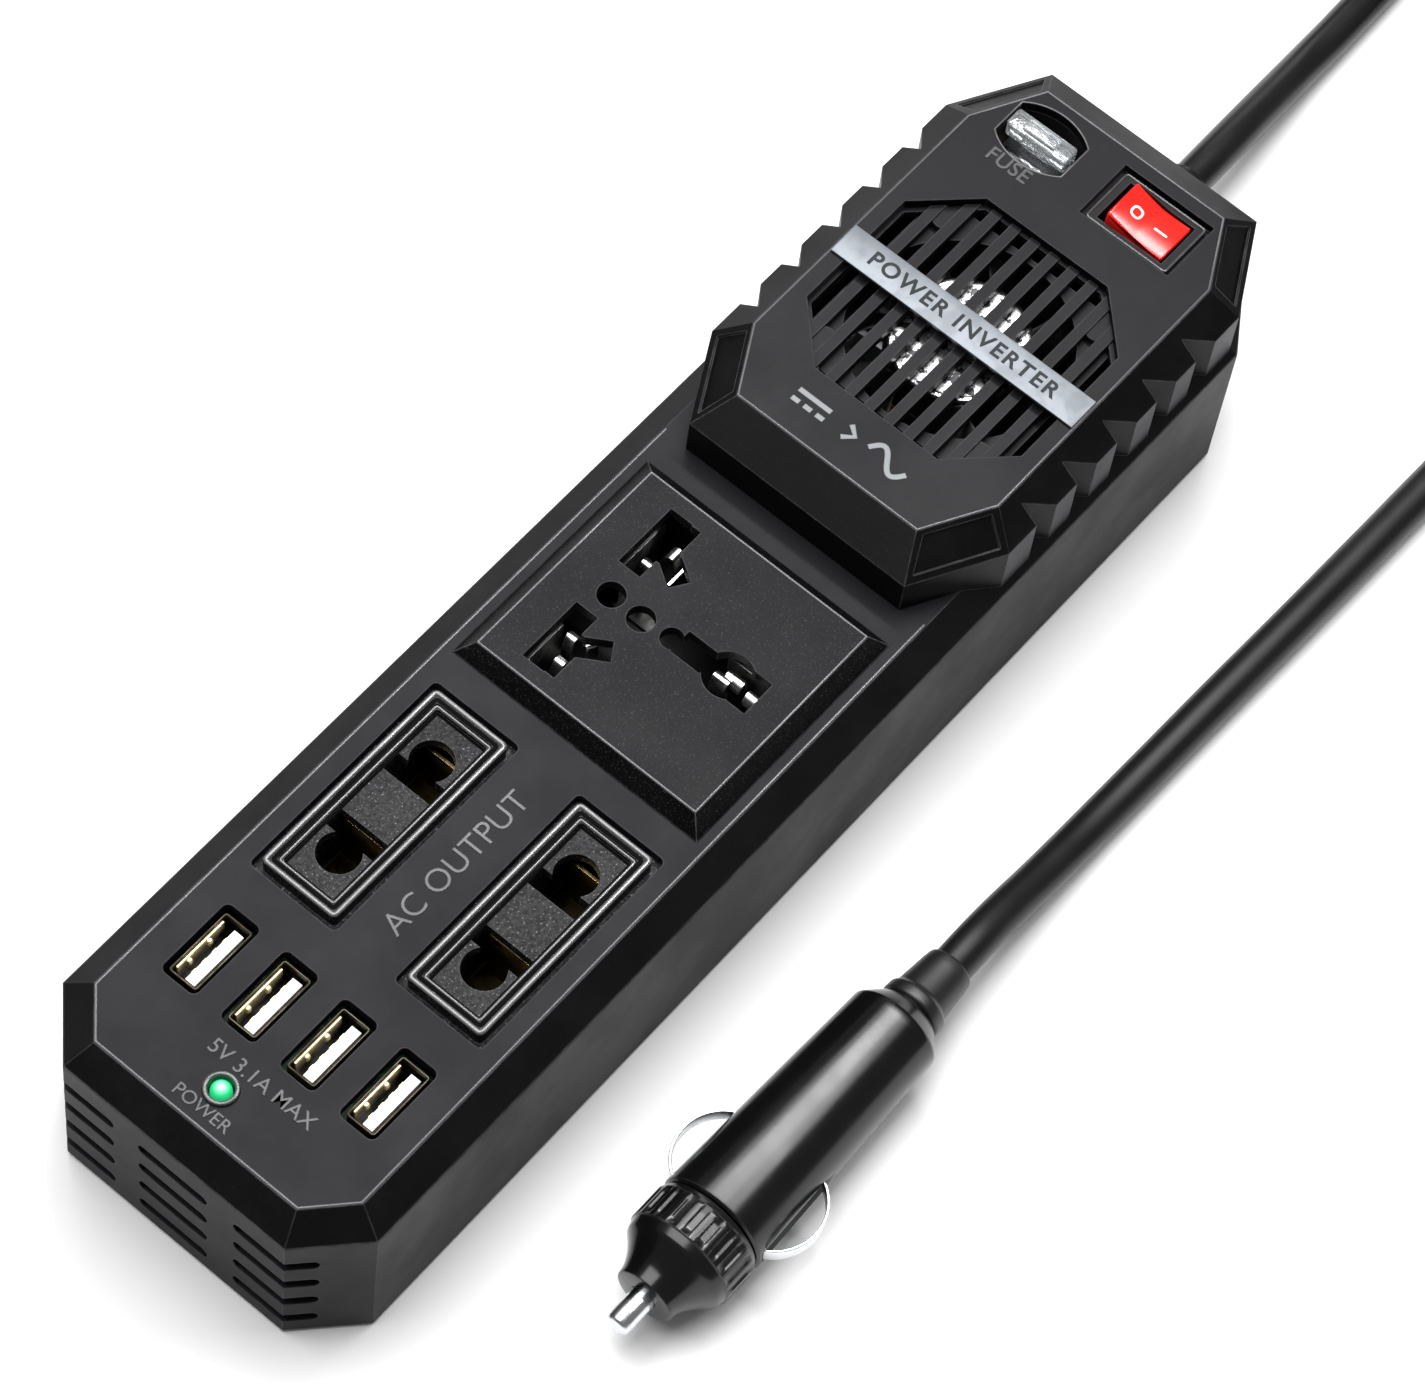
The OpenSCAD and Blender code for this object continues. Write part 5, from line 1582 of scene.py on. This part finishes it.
@dataclass
class FanUnit(Maker):
    """The fan's rotor and its foil label, seen through the grille. Pitch in degrees, rake in radians."""

    blades: int = 7
    hub: float = 12.2
    reach: float = 18.4
    pitch: tuple[float, float] = (46.0, 30.0)
    half_chord: float = 4.3
    thin: float = 0.42
    camber: float = 0.5
    rake: float = 0.25
    overlap: float = 0.4

    def blade_rings(self, number: int, centre: np.ndarray, level: float) -> np.ndarray:
        """One blade as rings from root to tip.

        A ring at radius r is a thin lens section whose chord is turned by the pitch at that radius, bent
        round the axis and raked forward towards the tip.

        Args:
            number: which blade.
            centre: a point on the axis.
            level: height of the blade's middle.

        Returns:
            The rings.
        """
        share = np.linspace(0, 1, 9)[:, None]
        radius = self.hub - self.overlap + (self.reach - self.hub + self.overlap) * share
        pitch = np.radians(self.pitch[0] + (self.pitch[1] - self.pitch[0]) * share)
        a = np.linspace(0, 2 * math.pi, 24, endpoint=False)[None, :]
        chord = self.half_chord * np.cos(a)
        thick = self.thin * np.sin(a) + self.camber * (1 - (chord / self.half_chord) ** 2)
        round_axis = (chord * np.cos(pitch) - thick * np.sin(pitch)) / radius
        height = level + chord * np.sin(pitch) + thick * np.cos(pitch)
        turn = 2 * math.pi * number / self.blades + round_axis + self.rake * share
        return np.stack([centre[0] + radius * np.cos(turn), centre[1] + radius * np.sin(turn),
                         np.broadcast_to(height, turn.shape)], -1)

    def rotor(self) -> bpy.types.Object:
        """Makes the rotor: a turned cup with a soft rim, its shaft and its blades."""
        low, high = span("fan_rotor")
        centre = plan_centre("fan_rotor")
        cup_low = low[2] + 1.0
        cup = rounded([[high[2] - 1.5, 0.0], [high[2] - 1.5, self.hub - 1.3], [cup_low, self.hub - 1.3],
                       [cup_low, self.hub], [high[2], self.hub], [high[2], 0.0]], 0.7, 6, closed=False)
        surface = Surface("fan_impeller").grid(turned(cup, centre, 2), caps=False)
        shaft = np.array([[low[2], 0.0], [low[2], 0.95], [high[2] - 1.5, 0.95], [high[2] - 1.5, 0.0]])
        surface.grid(turned(shaft, centre, 2, 24), caps=False)
        for number in range(self.blades):
            surface.grid(self.blade_rings(number, centre, (cup_low + high[2]) / 2))
        piece = surface.build(CRISP_SHEET)
        return self.hand_over(piece, "dark_plastic", "dark_plastic", "fan_rotor", ["fan_rotor"])

    def label(self) -> bpy.types.Object:
        """Makes the foil label, a thin disc with a raised rim."""
        low, high = span("fan_label")
        top, face = high[2], high[2] - 0.04
        profile = rounded([[low[2], 0.0], [low[2], 11.6], [top, 11.6], [top, 11.0], [face, 10.8],
                           [face, 0.0]], 0.05, 3, closed=False)
        piece = Surface("hub_foil").grid(turned(profile, plan_centre("fan_label"), 2), caps=False).build()
        return self.hand_over(piece, "hub_foil", "silver_film", "fan_rotor", ["fan_label"])

    def build(self) -> list[bpy.types.Object]:
        """Builds the rotor and its label."""
        return [self.rotor(), self.label()]


@dataclass(frozen=True)
class Caption:
    """One line of plain letters on top of a node."""

    name: str
    words: str
    on_node: str
    place: tuple[float, float]
    height: float
    reading: Reading = Reading.ACROSS
    finish: str = "caption_lit_plastic"
    slot: str = "case_plastic"
    weight: float = 0.0
    spacing: float = 1.0
    lift: float = 0.12


@dataclass
class Lettering(Maker):
    """Every caption on the case. Places run from the USB end, then across."""

    captions: tuple[Caption, ...] = (
        Caption("caption_power", "POWER", "top_cover", (7.6, 1.1), 2.3, weight=0.015),
        Caption("caption_output", "5V 3.1A MAX", "top_cover", (16.5, -2.9), 2.65, weight=0.015),
        Caption("caption_sockets", "AC OUTPUT", "top_cover", (64.2, 0.0), 4.1, Reading.ALONG),
        Caption("caption_fuse", "FUSE", "fan_housing", (216.7, 14.1), 2.9, slot="dark_plastic", weight=0.02),
        Caption("band_words", "POWER INVERTER", "rating_band", (187.0, 0.0), 3.0, finish="printed_grey",
                slot="dark_plastic", weight=0.03, spacing=1.18, lift=0.06),
    )
    sunk: float = 0.02

    def build(self) -> list[bpy.types.Object]:
        """Makes each caption and lays it on its node's top."""
        made = []
        for line in self.captions:
            piece = lettering(line.name, line.words, line.height, line.lift, line.weight, line.spacing)
            lay(piece, line.place, span(line.on_node)[1][2] - self.sunk, line.reading)
            made.append(self.hand_over(piece, line.finish, line.slot))
        return made


@dataclass
class EdgeBeads(Maker):
    """Fine raised lines that border the flat faces and the frames of the inserts, mostly in lighter tones
    that paint the edge highlights, with flat black strips that paint the shadow in the frames.
    """

    face_inset: float = 0.35
    width: float = 0.42
    height: float = 0.16
    house_wall: float = 146.0
    insert_drop: float = 1.4
    pocket_radius: float = 10.95
    pocket_off: float = 4.7
    pocket_half: float = 7.0

    def case_line(self) -> bpy.types.Object:
        """Makes the bead round the case's top face, from one side of the housing to the other."""
        case_low, _ = span("lower_case")
        level = float(span("two_pin_left")[1][2]) - 0.8
        border = flat_border("top_cover", level, self.face_inset)
        wall = case_low[0] + self.house_wall
        start = int(np.argmax(border[:, 0] + 0.01 * border[:, 1]))
        border = np.roll(border, -start, 0)
        near = border[border[:, 0] < wall]
        ends = np.array([[wall, near[0, 1]], [wall, near[-1, 1]]])
        path = np.concatenate([ends[:1], near, ends[1:]])
        line = bead(path, self.width, self.height, level, closed=False)
        piece = Surface("case_face_bead").grid(line).build(CRISP_BEAD)
        return self.hand_over(piece, "bead_highlight_plastic", "case_plastic")

    def loop(self, name: str, paths: Sequence[tuple[np.ndarray, float, float, float]], finish: str,
             slot: str) -> bpy.types.Object:
        """Makes one piece from closed beads.

        Args:
            name: the piece's name.
            paths: each bead's line, width, height and level.
            finish: the finish's name.
            slot: the record's material slot.

        Returns:
            The piece.
        """
        surface = Surface(name)
        for path, width, height, level in paths:
            surface.grid(bead(path, width, height, level), loop=True)
        return self.hand_over(surface.build(CRISP_BEAD), finish, slot)

    def socket_frames(self) -> list[bpy.types.Object]:
        """Makes the two ridges round each two-pin insert, in a tone that paints their highlight, and two
        flat black strips that paint the shadow in the groove between them and along the recess wall inside.
        """
        made = []
        for side in ("left", "right"):
            node = "two_pin_" + side
            _, high = span(node)
            centre = middle(node)[:2]
            outer = box_outline(39.8, 14.3, 0.7) + centre
            inner = box_outline(36.5, 11.1, 0.4) + centre
            groove = box_outline(37.95, 12.5, 0.5) + centre
            border = box_outline(35.3, 9.9, 0.4) + centre
            paths = [(outer, 0.9, 0.4, high[2] - 0.05), (inner, 0.45, 0.3, high[2] - 0.5)]
            made.append(self.loop("frame_ridges_" + side, paths, "bezel_highlight_line", "dark_plastic"))
            # Painted shadow: flat black strips in the groove between the ridges and along the recess wall
            # inside.
            paths = [(groove, 0.75, 0.02, high[2]), (border, 0.5, 0.02, high[2] - self.insert_drop)]
            made.append(self.loop("frame_groove_shadows_" + side, paths, "groove_shadow_black", "socket_plastic"))
        return made

    def fuse_rim(self) -> np.ndarray:
        """Line round the fuse pocket: two arcs of one radius, centred either side of the middle."""
        y = np.linspace(-self.pocket_half, self.pocket_half, 17)
        x = np.sqrt(self.pocket_radius**2 - y**2) - self.pocket_off
        return np.concatenate([np.stack([x, y], 1), np.stack([-x, -y], 1)]) + middle("fuse_body")[:2]

    def build(self) -> list[bpy.types.Object]:
        """Builds every bead."""
        plate = float(span("fan_housing")[1][2])
        plateau = float(span("universal_socket")[1][2])
        low, high = span("switch_frame")
        switch = box_outline(*(high - low)[:2] - 0.5, 0.6) + middle("switch_frame")[:2]
        pocket = self.fuse_rim()
        plate_line = (flat_border("fan_housing", plate, 0.3), 0.34, 0.1, plate)
        plateau_line = (flat_border("universal_socket", plateau, 0.25), 0.36, 0.12, plateau)
        return [
            self.case_line(),
            self.loop("housing_bead", [plate_line], "bead_highlight_plastic", "dark_plastic"),
            self.loop("plateau_bead", [plateau_line], "bead_highlight_plastic", "socket_plastic"),
            self.loop("switch_bead", [(switch, 0.5, 0.25, high[2])], "bezel_gloss", "dark_plastic"),
            self.loop("pocket_bead", [(pocket, 0.3, 0.1, plate)], "bead_highlight_plastic", "dark_plastic"),
            *self.socket_frames(),
        ]


@dataclass
class CurrentSign(Maker):
    """A plain sign on the housing: direct current in, alternating current out."""

    place: tuple[float, float] = (159.0, 0.5)
    stroke: float = 0.95
    height: float = 4.4
    lift: float = 0.06

    def stripe(self, points: np.ndarray) -> np.ndarray:
        """A flat stroke along a line: rings of four corners across it, two of them lifted off the face."""
        normal = sideways(points) * self.stroke / 2
        rings = np.empty((len(points), 4, 3))
        for corner, (across, up) in enumerate(((1, 0), (-1, 0), (-1, 1), (1, 1))):
            rings[:, corner, :2] = points + across * normal
            rings[:, corner, 2] = up * self.lift
        return rings

    def lines(self) -> list[np.ndarray]:
        """The sign's strokes: a bar over three dashes, an arrow, and one full sine wave."""
        half = self.height / 2
        bar, row = 0.45 * half, -0.45 * half
        places = ((-11.4, -4.8, bar), (-11.4, -9.8, row), (-8.9, -7.3, row), (-6.4, -4.8, row))
        strokes = [np.array([[x0, y], [(x0 + x1) / 2, y], [x1, y]]) for x0, x1, y in places]
        head = np.array([[-0.9, 1.5], [0.9, 0.0], [-0.9, -1.5]])
        x = np.linspace(3.6, 11.4, 49)
        wave = np.stack([x, 0.85 * half * np.sin((x - 3.6) / 7.8 * 2 * math.pi)], 1)
        return [*strokes, head, wave]

    def build(self) -> bpy.types.Object:
        """Builds the sign on the housing's plate."""
        plate = float(span("fan_housing")[1][2])
        surface = Surface("current_sign")
        for line in self.lines():
            surface.grid(self.stripe(line))
        piece = lay(surface.build(CRISP_BEAD), self.place, plate, Reading.ACROSS)
        return self.hand_over(piece, "printed_silver", "silver_film")


@dataclass
class FlatParts(Maker):
    """Thin trim: the band over the grille and the feet."""

    foot_radius: float = 5.0

    def band(self) -> bpy.types.Object:
        """Makes the band as a soft-edged strip the size of its node."""
        low, high = span("rating_band")
        size = high - low
        rings = soft_prism(box_outline(size[0], size[1], 0.3), low[2], high[2], 0.15)
        piece = Surface("grille_band").grid(rings + plan_centre("rating_band")).build()
        return self.hand_over(piece, "silver_film", "silver_film", stands_for=["rating_band"])

    def feet(self) -> bpy.types.Object:
        """Makes the four feet as low turned pads at the corners of the feet node's box."""
        low, high = span("rubber_feet")
        radius = self.foot_radius
        profile = rounded([[high[2], 0.0], [high[2], radius], [low[2], radius], [low[2], 0.0]], 0.4, 5,
                          closed=False)
        surface = Surface("foot_pads")
        for x in (low[0] + radius, high[0] - radius):
            for y in (low[1] + radius, high[1] - radius):
                surface.grid(turned(profile, (x, y, 0), 2, 48), caps=False)
        return self.hand_over(surface.build(), "foot_rubber", "foot_rubber", stands_for=["rubber_feet"])

    def build(self) -> list[bpy.types.Object]:
        """Builds the band and the feet."""
        return [self.band(), self.feet()]


def main() -> None:
    """Builds the studio, the cord, the pieces and their finishes round the frame."""
    logging.basicConfig(level=logging.INFO, format="%(name)s: %(message)s")
    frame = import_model()
    Studio().build()
    finishes = Finishes()
    finishes.dress_frame(frame)

    cord, relief, strap = SupplyCord(finishes).build()
    plug = CarPlug(finishes).build()
    UsbRow(finishes).build()
    ContactLeaves(finishes).build()
    PowerLight(finishes).build()
    Rocker(finishes).build(frame)
    BladeFuse(finishes).build()
    FanUnit(finishes).build()
    FlatParts(finishes).build()
    EdgeBeads(finishes).build()
    CurrentSign(finishes).build()
    Lettering(finishes).build()


if __name__ == "__main__":
    main()
